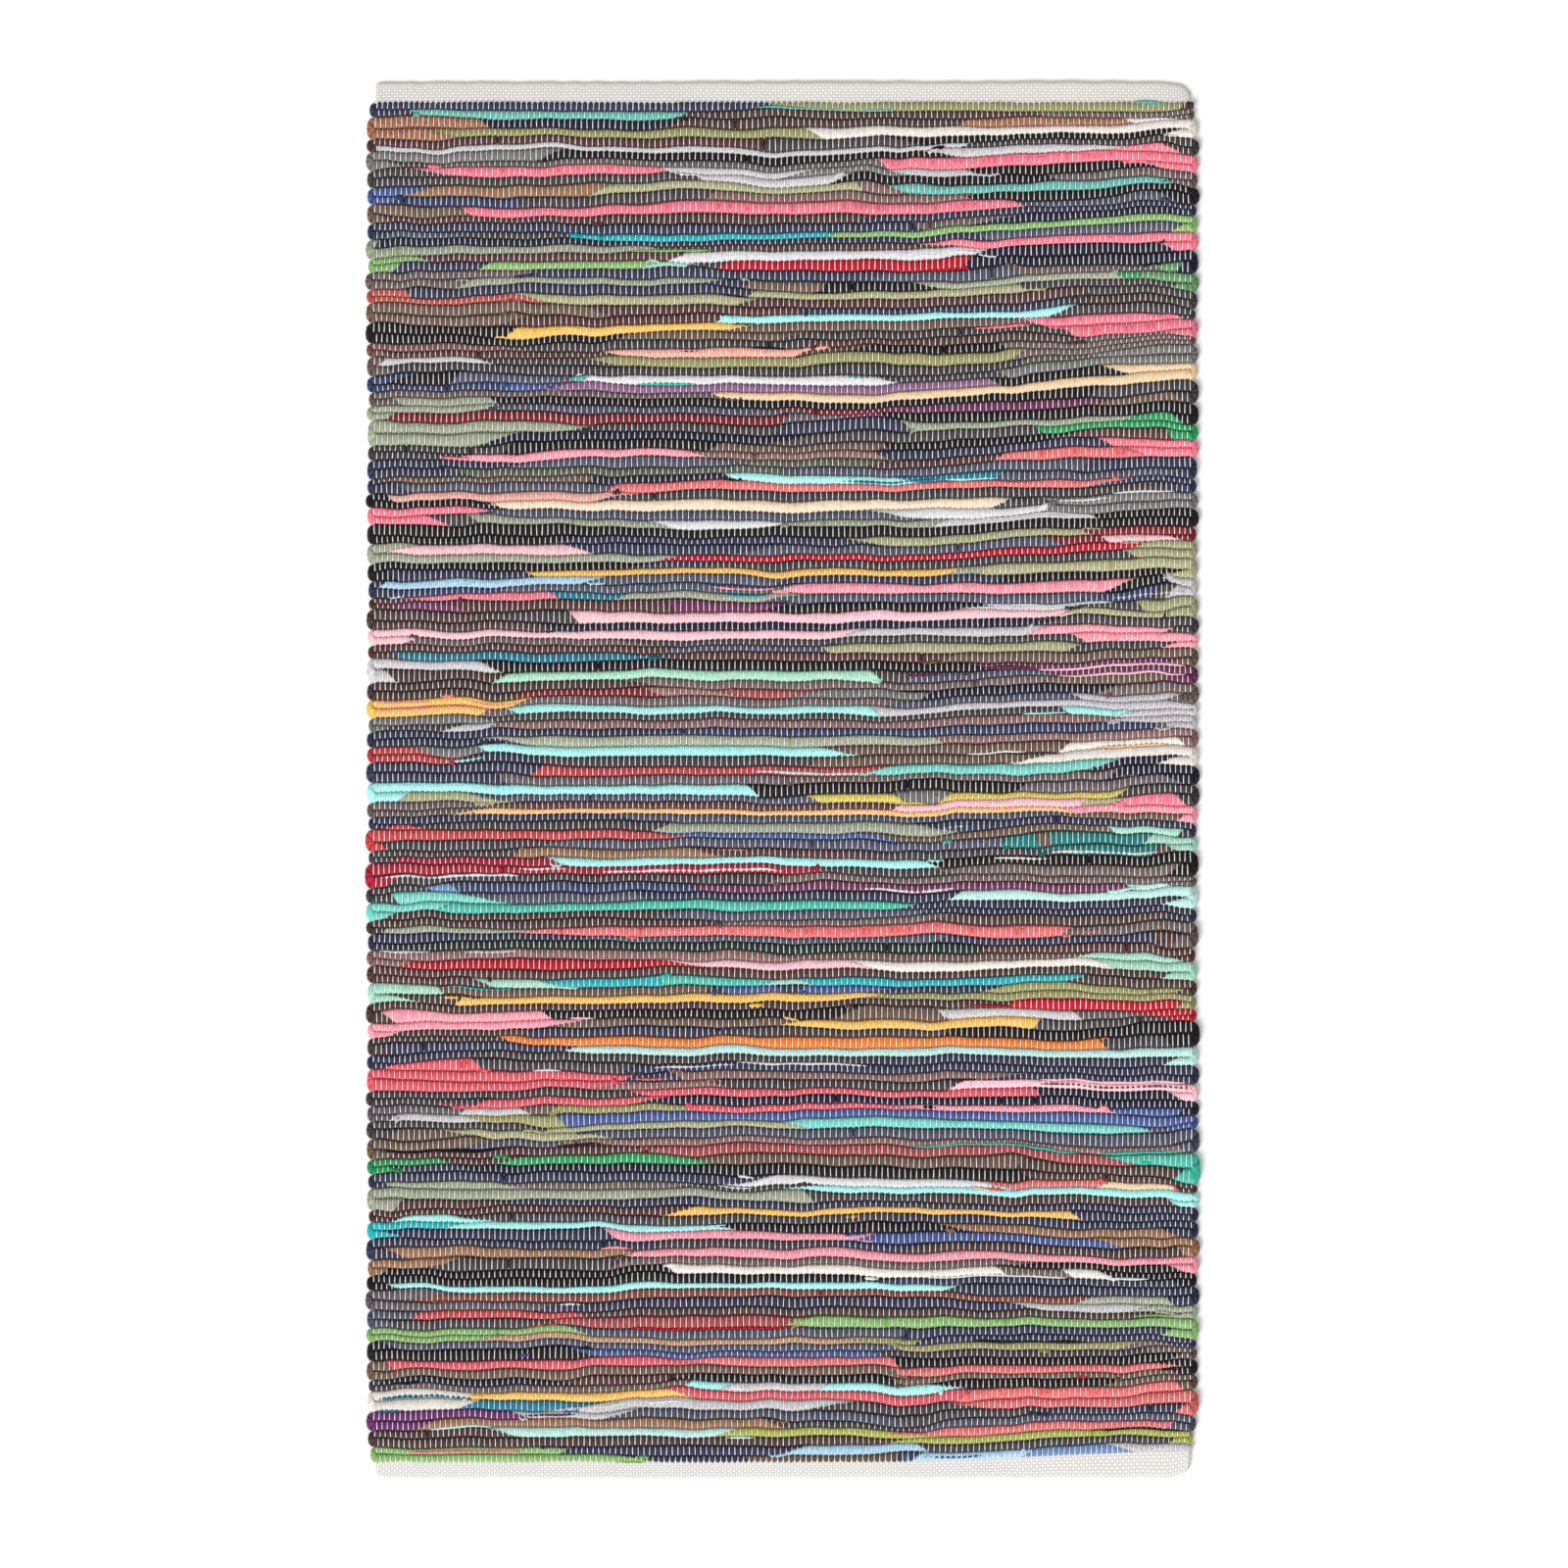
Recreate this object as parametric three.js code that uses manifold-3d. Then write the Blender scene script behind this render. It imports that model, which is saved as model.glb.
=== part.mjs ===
// Hand-woven rag rug, lying flat: a field of crosswise rag strips and, at each end, a cotton heading
// woven on the same warp and folded under as a hem. Millimetres, +Z up. X runs across the rug along
// the strips, Y along its length. The origin is under the middle of the rug, on the floor.
import * as THREE from 'three';
import Module from 'manifold-3d';
import { mergeVertices } from 'three/addons/utils/BufferGeometryUtils.js';

const RUG_WIDTH = 896; // over the selvedge loops
const RUG_LENGTH = 1500; // over both folded headings
const PICKS = 160; // crosswise rows of rag strip
const FIELD_CROWN = 8; // top of a rag strip above the floor
const FIELD_VALLEY = 5.4; // where two strips press together
const CROWN_FLAT = { from: 0.28, to: 0.72 }; // the flat top of a strip, as shares of its width
const FIELD_MIDDLE_SHIFT = -2; // the far heading shows a little deeper than the near one
const HEADING_DEPTH = 20; // from the rag field to the fold
const HEADING_INSET = 5; // the cotton draws in from the selvedge on each side
const HEADING_CORNER = 9; // radius of a heading's outer corners
const CLOTH_THICKNESS = 1.2; // the heading's cotton cloth
const HEM_GAP = 0.5; // between the cloth and its turned-under layer
const PIECE_GAP = 0.3;
const LOOP_DEPTH = 4.5; // how far a strip's turn stands out of the selvedge
const LOOP_SIDES = 4; // straight runs along one turn
const LOOP_SIZES = { mean: 0.8, swing: 0.2, turn: 1.7 }; // no two turns are alike
const STRIP_SIZES = [ // the uneven thickness of the strips, as two waves over the pick number
  { swing: 0.16, turn: 2.4, start: 0 },
  { swing: 0.12, turn: 0.71, start: 1 },
];
const END_DRAW_IN = 5; // how much narrower each side is at the field's two ends
const END_DRAW_LENGTH = 70; // over which it widens again
const EDGE_WANDER = 1.4; // slow drift of each selvedge
const EDGE_WAVES = { long: 97, short: 41 }; // how slowly it drifts
const CUT_MARGIN = 10; // how far a cutting solid reaches past what it cuts
const CURVE_STEPS = 6; // straight runs along an arc or a rounded corner
const WELD_DISTANCE = 1e-4; // vertices closer than this are one

const FIELD_LENGTH = RUG_LENGTH - 2 * (HEADING_DEPTH + PIECE_GAP);
const FIELD_START = -FIELD_LENGTH / 2 + FIELD_MIDDLE_SHIFT;
const FIELD_END = FIELD_START + FIELD_LENGTH;
const HALF_WIDTH = RUG_WIDTH / 2 - LOOP_DEPTH - EDGE_WANDER;
const SIDES = { left: -1, right: 1 };
const ENDS = { far: 1, near: -1 };
const STRAIGHT = { bevelEnabled: false, curveSegments: CURVE_STEPS };

const wasm = await Module();
wasm.setup();

const ragCloth = new THREE.MeshStandardMaterial({ color: 0x5d5350, roughness: 0.95, metalness: 0 });
const headingCotton = new THREE.MeshStandardMaterial({ color: 0xe9e5dd, roughness: 0.95, metalness: 0 });

// A closed three.js geometry as a solid that can be cut.
function toSolid(geometry) {
  const bare = geometry.clone();
  bare.deleteAttribute('normal');
  bare.deleteAttribute('uv');
  const merged = mergeVertices(bare, WELD_DISTANCE);
  const vertProperties = new Float32Array(merged.attributes.position.array);
  const triVerts = new Uint32Array(merged.index.array);
  return new wasm.Manifold(new wasm.Mesh({ numProp: 3, vertProperties, triVerts }));
}

function toGeometry(solid) {
  const { vertProperties, triVerts } = solid.getMesh();
  const geometry = new THREE.BufferGeometry();
  geometry.setAttribute('position', new THREE.BufferAttribute(new Float32Array(vertProperties), 3));
  geometry.setIndex(new THREE.BufferAttribute(new Uint32Array(triVerts), 1));
  geometry.computeVertexNormals();
  return geometry;
}

// A lengthwise section, drawn in Y and Z, run across the whole rug along X.
function acrossRug(section) {
  const depth = RUG_WIDTH + 2 * CUT_MARGIN;
  const geometry = new THREE.ExtrudeGeometry(section, { depth, ...STRAIGHT });
  const turn = new THREE.Matrix4().makeBasis(
    new THREE.Vector3(0, 1, 0),
    new THREE.Vector3(0, 0, 1),
    new THREE.Vector3(1, 0, 0),
  );
  geometry.applyMatrix4(turn);
  geometry.translate(-depth / 2, 0, 0);
  return toSolid(geometry);
}

// An outline, drawn in X and Y, run up through the rug's thickness.
function throughRug(outline) {
  const depth = FIELD_CROWN + 2 * CUT_MARGIN;
  const geometry = new THREE.ExtrudeGeometry(outline, { depth, ...STRAIGHT });
  geometry.translate(0, 0, -CUT_MARGIN);
  return toSolid(geometry);
}

// Where pick number n begins: the strips are of uneven thickness, and fill the field between them.
function pickEdges() {
  const edges = [0];
  for (let n = 0; n < PICKS; n += 1) {
    let thickness = 1;
    for (const wave of STRIP_SIZES) thickness += wave.swing * Math.sin(n * wave.turn + wave.start);
    edges.push(edges[n] + thickness);
  }
  const scale = FIELD_LENGTH / edges[PICKS];
  return edges.map((edge) => FIELD_START + edge * scale);
}

const PICK_EDGES = pickEdges();

// The side of a selvedge at one place along the rug, without its loops.
function selvedge(side, y) {
  const fromEnd = Math.min(y - FIELD_START, FIELD_END - y);
  const drawn = END_DRAW_IN * Math.max(0, 1 - fromEnd / END_DRAW_LENGTH) ** 2;
  const drift = Math.sin(y / EDGE_WAVES.long + side) * Math.cos(y / EDGE_WAVES.short + 2 * side);
  return side * (HALF_WIDTH - drawn + EDGE_WANDER * drift);
}

// A selvedge with its loops: each turn of the strip joins two picks, and the two sides alternate.
function selvedgePoints(side) {
  const points = [];
  const first = side === SIDES.left ? 0 : 1;
  if (first === 1) points.push(new THREE.Vector2(selvedge(side, FIELD_START), FIELD_START));
  for (let n = first; n < PICKS; n += 2) {
    const start = PICK_EDGES[n];
    const end = PICK_EDGES[Math.min(n + 2, PICKS)];
    const size = LOOP_DEPTH * (LOOP_SIZES.mean + LOOP_SIZES.swing * Math.cos(n * LOOP_SIZES.turn));
    for (let step = 0; step < LOOP_SIDES; step += 1) {
      const share = step / LOOP_SIDES;
      const y = start + (end - start) * share;
      const out = size * Math.sin(Math.PI * share);
      points.push(new THREE.Vector2(selvedge(side, y) + side * out, y));
    }
  }
  points.push(new THREE.Vector2(selvedge(side, FIELD_END), FIELD_END));
  return points;
}

// The rag field: one ridge for each pick, cut to the looped outline.
function ragField() {
  const section = new THREE.Shape();
  section.moveTo(FIELD_START, 0);
  section.lineTo(FIELD_END, 0);
  section.lineTo(FIELD_END, FIELD_VALLEY);
  for (let n = PICKS - 1; n >= 0; n -= 1) {
    const from = PICK_EDGES[n];
    const to = PICK_EDGES[n + 1];
    section.lineTo(from + (to - from) * CROWN_FLAT.to, FIELD_CROWN);
    section.lineTo(from + (to - from) * CROWN_FLAT.from, FIELD_CROWN);
    section.lineTo(from, FIELD_VALLEY);
  }
  section.closePath();
  const right = selvedgePoints(SIDES.right);
  const left = selvedgePoints(SIDES.left).reverse();
  const outline = new THREE.Shape([...right, ...left]);
  return toGeometry(acrossRug(section).intersect(throughRug(outline)));
}

// A heading: cotton cloth running out from the field and folded back under itself.
function heading(direction) {
  const inner = (direction === ENDS.far ? FIELD_END : FIELD_START) + direction * PIECE_GAP;
  const fold = (direction * RUG_LENGTH) / 2;
  const height = 2 * CLOTH_THICKNESS + HEM_GAP;
  const bend = fold - (direction * height) / 2;
  const clockwise = direction === ENDS.near;
  const section = new THREE.Shape();
  section.moveTo(inner, 0);
  section.lineTo(bend, 0);
  section.absarc(bend, height / 2, height / 2, -Math.PI / 2, Math.PI / 2, clockwise);
  section.lineTo(inner, height);
  section.lineTo(inner, height - CLOTH_THICKNESS);
  section.lineTo(bend, height - CLOTH_THICKNESS);
  section.absarc(bend, height / 2, HEM_GAP / 2, Math.PI / 2, -Math.PI / 2, !clockwise);
  section.lineTo(inner, CLOTH_THICKNESS);
  section.closePath();

  const side = HALF_WIDTH - HEADING_INSET;
  const shoulder = fold - direction * HEADING_CORNER;
  const outline = new THREE.Shape();
  outline.moveTo(-side, inner);
  outline.lineTo(side, inner);
  outline.lineTo(side, shoulder);
  outline.quadraticCurveTo(side, fold, side - HEADING_CORNER, fold);
  outline.lineTo(HEADING_CORNER - side, fold);
  outline.quadraticCurveTo(-side, fold, -side, shoulder);
  outline.closePath();
  return toGeometry(acrossRug(section).intersect(throughRug(outline)));
}

function piece(name, geometry, material) {
  const mesh = new THREE.Mesh(geometry, material);
  mesh.name = name;
  return mesh;
}

const rug = new THREE.Group();
rug.add(
  piece('rag_field', ragField(), ragCloth),
  piece('heading_far', heading(ENDS.far), headingCotton),
  piece('heading_near', heading(ENDS.near), headingCotton),
);

// The uneven selvedges leave the rug a little off centre, so it is set square on the origin.
const middle = new THREE.Box3().setFromObject(rug).getCenter(new THREE.Vector3());
rug.position.set(-middle.x, -middle.y, 0);

export default rug;
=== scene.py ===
# Hand-woven rag rug, lying flat and seen from above. Strips of old cloth run back and forth across the
# rug and turn at its two sides. White cotton warp threads tie them down, and at each end a cotton
# heading, woven on the same warp, is folded under. Metres, +Z up: X across the rug, Y along it.
import math
from collections import namedtuple

import bpy
import numpy as np
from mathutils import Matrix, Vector


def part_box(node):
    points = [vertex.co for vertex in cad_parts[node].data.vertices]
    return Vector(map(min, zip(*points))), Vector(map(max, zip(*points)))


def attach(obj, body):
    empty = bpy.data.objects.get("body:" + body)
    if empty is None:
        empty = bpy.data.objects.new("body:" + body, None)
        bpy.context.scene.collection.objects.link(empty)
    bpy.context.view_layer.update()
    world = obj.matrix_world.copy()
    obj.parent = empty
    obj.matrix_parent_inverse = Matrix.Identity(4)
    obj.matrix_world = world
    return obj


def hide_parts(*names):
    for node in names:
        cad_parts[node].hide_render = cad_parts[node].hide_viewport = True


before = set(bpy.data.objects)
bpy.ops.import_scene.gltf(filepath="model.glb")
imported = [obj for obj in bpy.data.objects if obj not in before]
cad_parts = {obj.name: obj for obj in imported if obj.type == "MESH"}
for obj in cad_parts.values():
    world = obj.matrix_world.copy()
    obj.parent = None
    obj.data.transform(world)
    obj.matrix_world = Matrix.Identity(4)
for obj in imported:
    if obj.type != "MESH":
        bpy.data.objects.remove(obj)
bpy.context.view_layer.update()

# The weave
ROWS = 160  # crosswise rows of rag, counted from the far end
ENDS = 294  # warp threads, counted from the left side
BANDS = 5  # the rag field is made in this many lengths
EDGE_REACH = 0.0085  # the rug's side lies this far outside its outermost warp thread
WARP_CROWDING = 0.031  # the warp threads stand closer together towards the sides
END_DRAW_IN = 0.005  # each side of the rug draws in at its two ends
END_DRAW_LENGTH = 0.07
SIDE_WANDER = 0.0012  # slow drift of the rug's sides
SIDE_WAVES = (14, 1)  # in so many stretches along it, each side by itself
WARP_WANDER = 0.0010  # slow drift of the warp threads across the rug
WARP_WAVES = (9, 5)  # in so many stretches along the rug and across it

# A strip of rag, as pressed flat between its neighbours
STRIP_CROWN = 0.0079  # top of a strip of middling thickness
STRIP_SIDE = 0.0045  # height of its widest line, where it meets the next strip
CROWN_GIVE = 0.22  # what share of the crown's height goes with the strip's width
CROWN_WIDTHS = (0.5, 1.3)  # between these widths, as shares of a middling strip's
CROWN_UNEVENNESS = (0.0003, 30)  # how far a crown rises and sinks, and in how many stretches of a row
STRIP_SHOULDER = 0.54  # from its middle line to its shoulder, as a share of its half width
SHOULDER_DROP = 0.0005  # from its crown to its shoulders
PRESSED_OVERLAP = 0.00025  # neighbouring strips press into each other
TIE_DEPTH = 0.0013  # how far a warp thread pulls the cloth down
TIE_DEPTH_UNDER = 0.00104  # and up, on the rug's underside
TIE_PINCH = 0.0010  # how far it narrows the strip
TURN_DEPTH = 0.0042  # from the outermost warp thread to the middle line of a turning strip
TURN_DEPTHS = (0.55, 1.2)  # how turns differ in that, as shares
TURN_FULLNESS = (0.85, 1.1)  # and in their width, as shares
TURN_LUMPS = (-0.0012, 0.0006)  # how far its points sink and rise
TURN_HOLLOW = 0.9  # how far its inside can reach in towards its centre, as a share of its radius
TURN_FULLEST = 1.15  # how far a turning strip can spread, as a share of a middling strip's half width
TURN_OUTERMOST = 0.0095  # how far from the outermost warp thread a turn can reach
TURN_SQUARENESS = 0.6  # 1 for a round turn, less for a squarer one
TURN_ANGLES = (90, 60, 30)  # where a strip's sections stand in one half of its turn
LOOSE_END_REACH = 0.0068  # how far the first and the last strip's end stand out of the side
LOOSE_END_SHARES = (1, 0.6, 0.25)  # where their sections stand, from the outermost in
LOOSE_END_TAPER = 0.3  # how much narrower the outermost is
CREASE_HEIGHT = 0.0003  # how unevenly a strip's shoulders lie, up and down
CREASE_SHIFT = 0.0004  # and sideways
FOLD_SHIFT = (0.0006, 34)  # how far its top leans sideways along a row, and in how many stretches

# The loose ends that stand out where two strips join
TAIL_SHARE = 0.35  # of all the joins
TAIL_ENDS = (4, 14)  # it crosses this many warp threads, the second number not included
TAIL_HALF_WIDTH = (0.0011, 0.0024)
TAIL_SINK = 0.0020  # how far its middle lies below the tops of the strips
TAIL_FLATNESS = 0.65
KNOT_SHARE = 0.35  # of the loose ends, those that are short and thick
KNOT_ENDS = (2, 5)
KNOT_HALF_WIDTH = (0.0022, 0.0034)
# Columns: share of its length, share of its width
TAIL_TAPER = ((0, 0.5), (0.3, 0.9), (0.7, 1), (0.93, 0.85), (1, 0.4))
TAIL_START = 3  # warp threads between its start and the middle of the join
TAIL_CLEARANCE = 3  # warp threads between it and the rug's side
TAIL_CLOTH_FROM = 9  # warp threads from the join to where its cloth is looked up
TAIL_PALE_SHARE = 0.75  # of the loose ends, those that belong to the paler strip
TAIL_ASIDE = 0.85  # how far it lies beside its row's middle line, as a share of the half width
TAIL_TURNS_ASIDE = (-0.15, 0.45)  # over this part of its length
TAIL_WANDER = (0.0004, 0.0003)  # how far its middle strays, across the rows and up
TAIL_LIFT = 0.0004  # how much higher its free half lies
TAIL_UNEVENNESS = (0.85, 1.15)  # of its radius
TAIL_TURNED = 0.3  # radians by which its section is turned

# The thin strands along the rows, and the knobs
STRAND_HALF_WIDTH = (0.0011, 0.0016)
STRAND_END_WIDTH = 0.35  # as a share of its middle's
STRAND_STEP = 2  # warp threads from one section of a strand to the next
STRAND_SECTIONS = 4  # the fewest that a strand has
STRAND_UNEVENNESS = 0.25
STRAND_SWELLS = 2  # sections to each swelling
STRAND_WANDER = 0.0005
STRAND_BENDS = 3  # and to each bend
STRAND_TAPER = 6  # over how many warp threads a strand narrows to its ends
STRAND_RISE = 0.0009  # how far its middle lies above a loose end's
KNOB_HALF_WIDTH = (0.0030, 0.0040)
KNOB_REACH = 0.7  # centimetres to each side of its middle
KNOB_RISE = 0.0002

# The warp where it shows
THREAD_RADIUS = 0.00049
THREAD_LEAN = 0.0004
THREAD_SHOULDER = 0.68  # where it bends down, as a share of the strip's half width
THREAD_DIVE = 0.0012  # how far above the strips' widest line it goes out of sight
THREAD_STANDS = 0.0008  # how far it stands out of the cloth that it pulls down
THREAD_SINKS = 0.0004  # and how much less of it on the fullest strips
FULL_STRIPS = (0.95, 1.25)  # from and up to this share of a middling strip's half width
THREAD_SINKS_PALE = (0.0003, 0.0011)  # and on the pale ones, which are of soft jersey
PALE_STRIPS = (0.7, 1.2)  # from and up to this, for the highest and the lowest channel together
THREAD_FLATNESS = 0.6
THREAD_HIDDEN = 0.004  # the share of crossings where a fold of rag hides the thread
THREAD_HIDING = 0.0022  # how far down it lies there
THREAD_RADII = (0.85, 1.15)  # how threads differ in their radius, as shares
THREAD_UNEVENNESS = 0.0003  # and in their height
THREAD_TIP_GAP = 0.0002  # from where it goes out of sight to the line between the rows
THREAD_UNDER_GAP = 0.00005  # from the floor to a thread on the underside
THREAD_UNDER_DIVE = 0.0008  # how far below the strips' widest line its ends lie

# The headings
CANVAS_ROWS = 8  # rows of cotton across a heading's top
CANVAS_RELIEF = 0.0007  # how far they go up over one warp thread and down under the next
HEADING_BULGE = (0.0005, 30)  # how far its top rises and sinks, and in how many stretches
HEADING_SLOPE = 0.0026  # its top layer climbs towards the rag field
FOLD_LIFT = (0.0008, 7)  # its fold stands off the floor by up to twice this, in so many stretches
FAR_CORNERS = (0.003, 0.011)  # how far each corner of the far heading is rounded, left and right
NEAR_CORNERS = (0.008, 0.008)
CORNER_DEPTH = 0.7  # how deep a rounded corner is, as a share of how far it reaches
FOLD_UNEVENNESS = (0.0006, 70)  # how ragged the line of the fold is, and in how many stretches
HEADING_TUCK = 0.003  # how far it goes in under the outermost strip
NEAR_CORNER_PULL = (0.008, 0.96)  # the near heading's right corner is pulled in, from this share across
FAR_CORNER_PULL = (0.004, 0.95)  # and the far heading's, a little

YARN_COLOUR = (255, 254, 251)  # sRGB, out of 255
CANVAS_COLOUR = (247, 243, 239)
CANVAS_UNDER_SHADE = 0.72  # painted shade: how dark a thread is where it goes under another
CANVAS_GAP_SHADE = 0.52  # how dark the painted shade is in the gaps between the cotton's threads
TIE_SHADE_DARK = 0.3  # how dark the painted shade is on a dark rag in the hollow beside a warp thread that pulls it down
TIE_SHADE_PALE = 0.86  # and on a pale one
JOINT_FRAY = 0.18  # how ragged one strip's edge is on the next
JOINT_PAINTED_SHADOW = 0.62  # how dark the painted shadow line is in the groove where one lies beside the next
MOTTLING = 1.1  # how much lighter and darker a heathered cloth is in its blotches
STREAKING = 0.32  # every cloth in its streaks, which are partly painted shade in its creases and partly wear on its folds
GRAIN = 0.16  # and in its grain

FLOOR_SIDE = 12.0
FLOOR_SHADE = 0.95
SKY_STRENGTH = 0.6
LIGHT_STRENGTH = 3.0
LIGHT_WIDTH = 35  # degrees
LIGHT_FROM = (-0.5, -0.65, 0.6)

PHOTO_SIDE = 1600
METRES_PER_PIXEL = 1.5 / 1425  # the rug is 1.5 m long and 1425 pixels tall
PHOTO_MIDDLE = (798.5, 796.0)  # the rug's middle in the photo
CAMERA_HEIGHT = 5.0

SEED = 7

FIELD_LOW, FIELD_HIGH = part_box("rag_field")
FIELD_WIDTH = FIELD_HIGH.x - FIELD_LOW.x
FIELD_LENGTH = FIELD_HIGH.y - FIELD_LOW.y
EVEN_HALF = FIELD_LENGTH / ROWS / 2  # half the width of a middling strip

Cloth = namedtuple("Cloth", "red green blue thickness heather")
# Every kind of cloth: its colour between the stitches, as three sRGB numbers out of 255, its thickness,
# of which 1 is middling, and how mottled it is, from 0 to 1.
CLOTH_LIST = """
black 35 30 32 1 0.2
charcoal 72 66 69 0.95 0.6
grey 118 117 116 0.95 0.5
thin grey 96 92 92 0.5 0.4
pale grey 200 198 200 0.9 0.35
lilac grey 194 188 194 0.95 0.4
white 222 221 224 1 0.2
off white 232 224 216 1.05 0.15
dark brown 82 60 56 0.95 0.5
maroon brown 94 58 56 0.9 0.4
taupe 112 94 92 0.9 0.6
brown 112 88 74 1 0.3
dusty brown 140 102 98 0.9 0.5
rust 132 70 54 1 0.3
copper 168 108 78 1.1 0.9
caramel 158 112 78 1 0.35
tan 192 146 110 0.7 0.6
navy 56 58 86 0.95 0.4
dark navy 38 38 60 0.95 0.3
mauve grey 106 94 102 0.95 0.6
mauve 140 96 136 0.9 0.5
slate 82 84 104 0.95 0.6
denim 54 66 106 0.95 0.35
royal blue 70 92 158 0.95 0.35
cornflower 108 146 198 1 0.3
sky 164 204 226 1 0.3
petrol 30 124 150 1 0.25
turquoise 26 176 186 1.05 0.25
teal 100 186 174 1 0.3
deep teal 22 128 126 1.05 0.25
jade 62 188 166 1.05 0.25
sea green 110 206 194 1 0.2
aqua 164 238 234 1.05 0.1
pale aqua 186 230 222 1.1 0.15
mint 162 216 194 0.9 0.2
leaf green 134 182 104 1 0.25
soft green 100 156 100 1 0.3
emerald 36 156 88 1.05 0.1
dark green 38 56 48 0.95 0.1
dark olive 92 94 78 0.9 0.8
olive 156 154 94 1 0.2
khaki 168 168 124 0.95 0.35
sage 158 164 140 0.95 0.4
lime 168 174 72 0.8 0.3
yellow 214 192 80 0.75 0.3
mustard 246 190 88 1 0.15
orange 246 130 46 1.1 0.1
apricot 250 194 128 1 0.5
peach 252 216 170 1.1 0.1
cream 252 226 196 1 0.2
salmon 240 172 156 1 0.2
coral 234 112 112 1 0.3
rose red 234 88 102 1 0.2
red 202 66 68 1 0.25
scarlet 206 22 44 1 0.1
crimson 174 32 54 1 0.3
brick 172 72 72 1.05 0.35
wine 140 34 46 0.9 0.3
coral red 196 86 76 1 0.3
pinkish brown 126 84 80 0.95 0.4
dusty rose 158 110 106 0.9 0.5
hot pink 252 124 144 1.15 0.1
pink 252 156 172 1 0.15
pale pink 250 194 204 0.92 0.15
plum 118 52 92 0.85 0.3
purple 112 44 112 0.95 0.2
"""

JOINT_SWELL = (-0.55, 0.5)  # how much thinner or thicker two strips are where they join
JOINT_REACH = (3, 16)  # and over how many warp threads
SWELL_CUT = 36  # no swelling reaches further than this
JOINT_HALF = (3, 16)  # one strip lies beside the next over twice this many warp threads
TURN_CARRY = (4, 10)  # a strip that ends at a turn runs on over this many
JOINT_SLANT = (0.3, 0.5)  # how slanting a join is
OWN_THICKNESS = (0.72, 1.28)  # how strips of the same cloth differ
OWN_SHADE = (0.9, 1.1)  # and how much lighter or darker one is than the next

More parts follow.
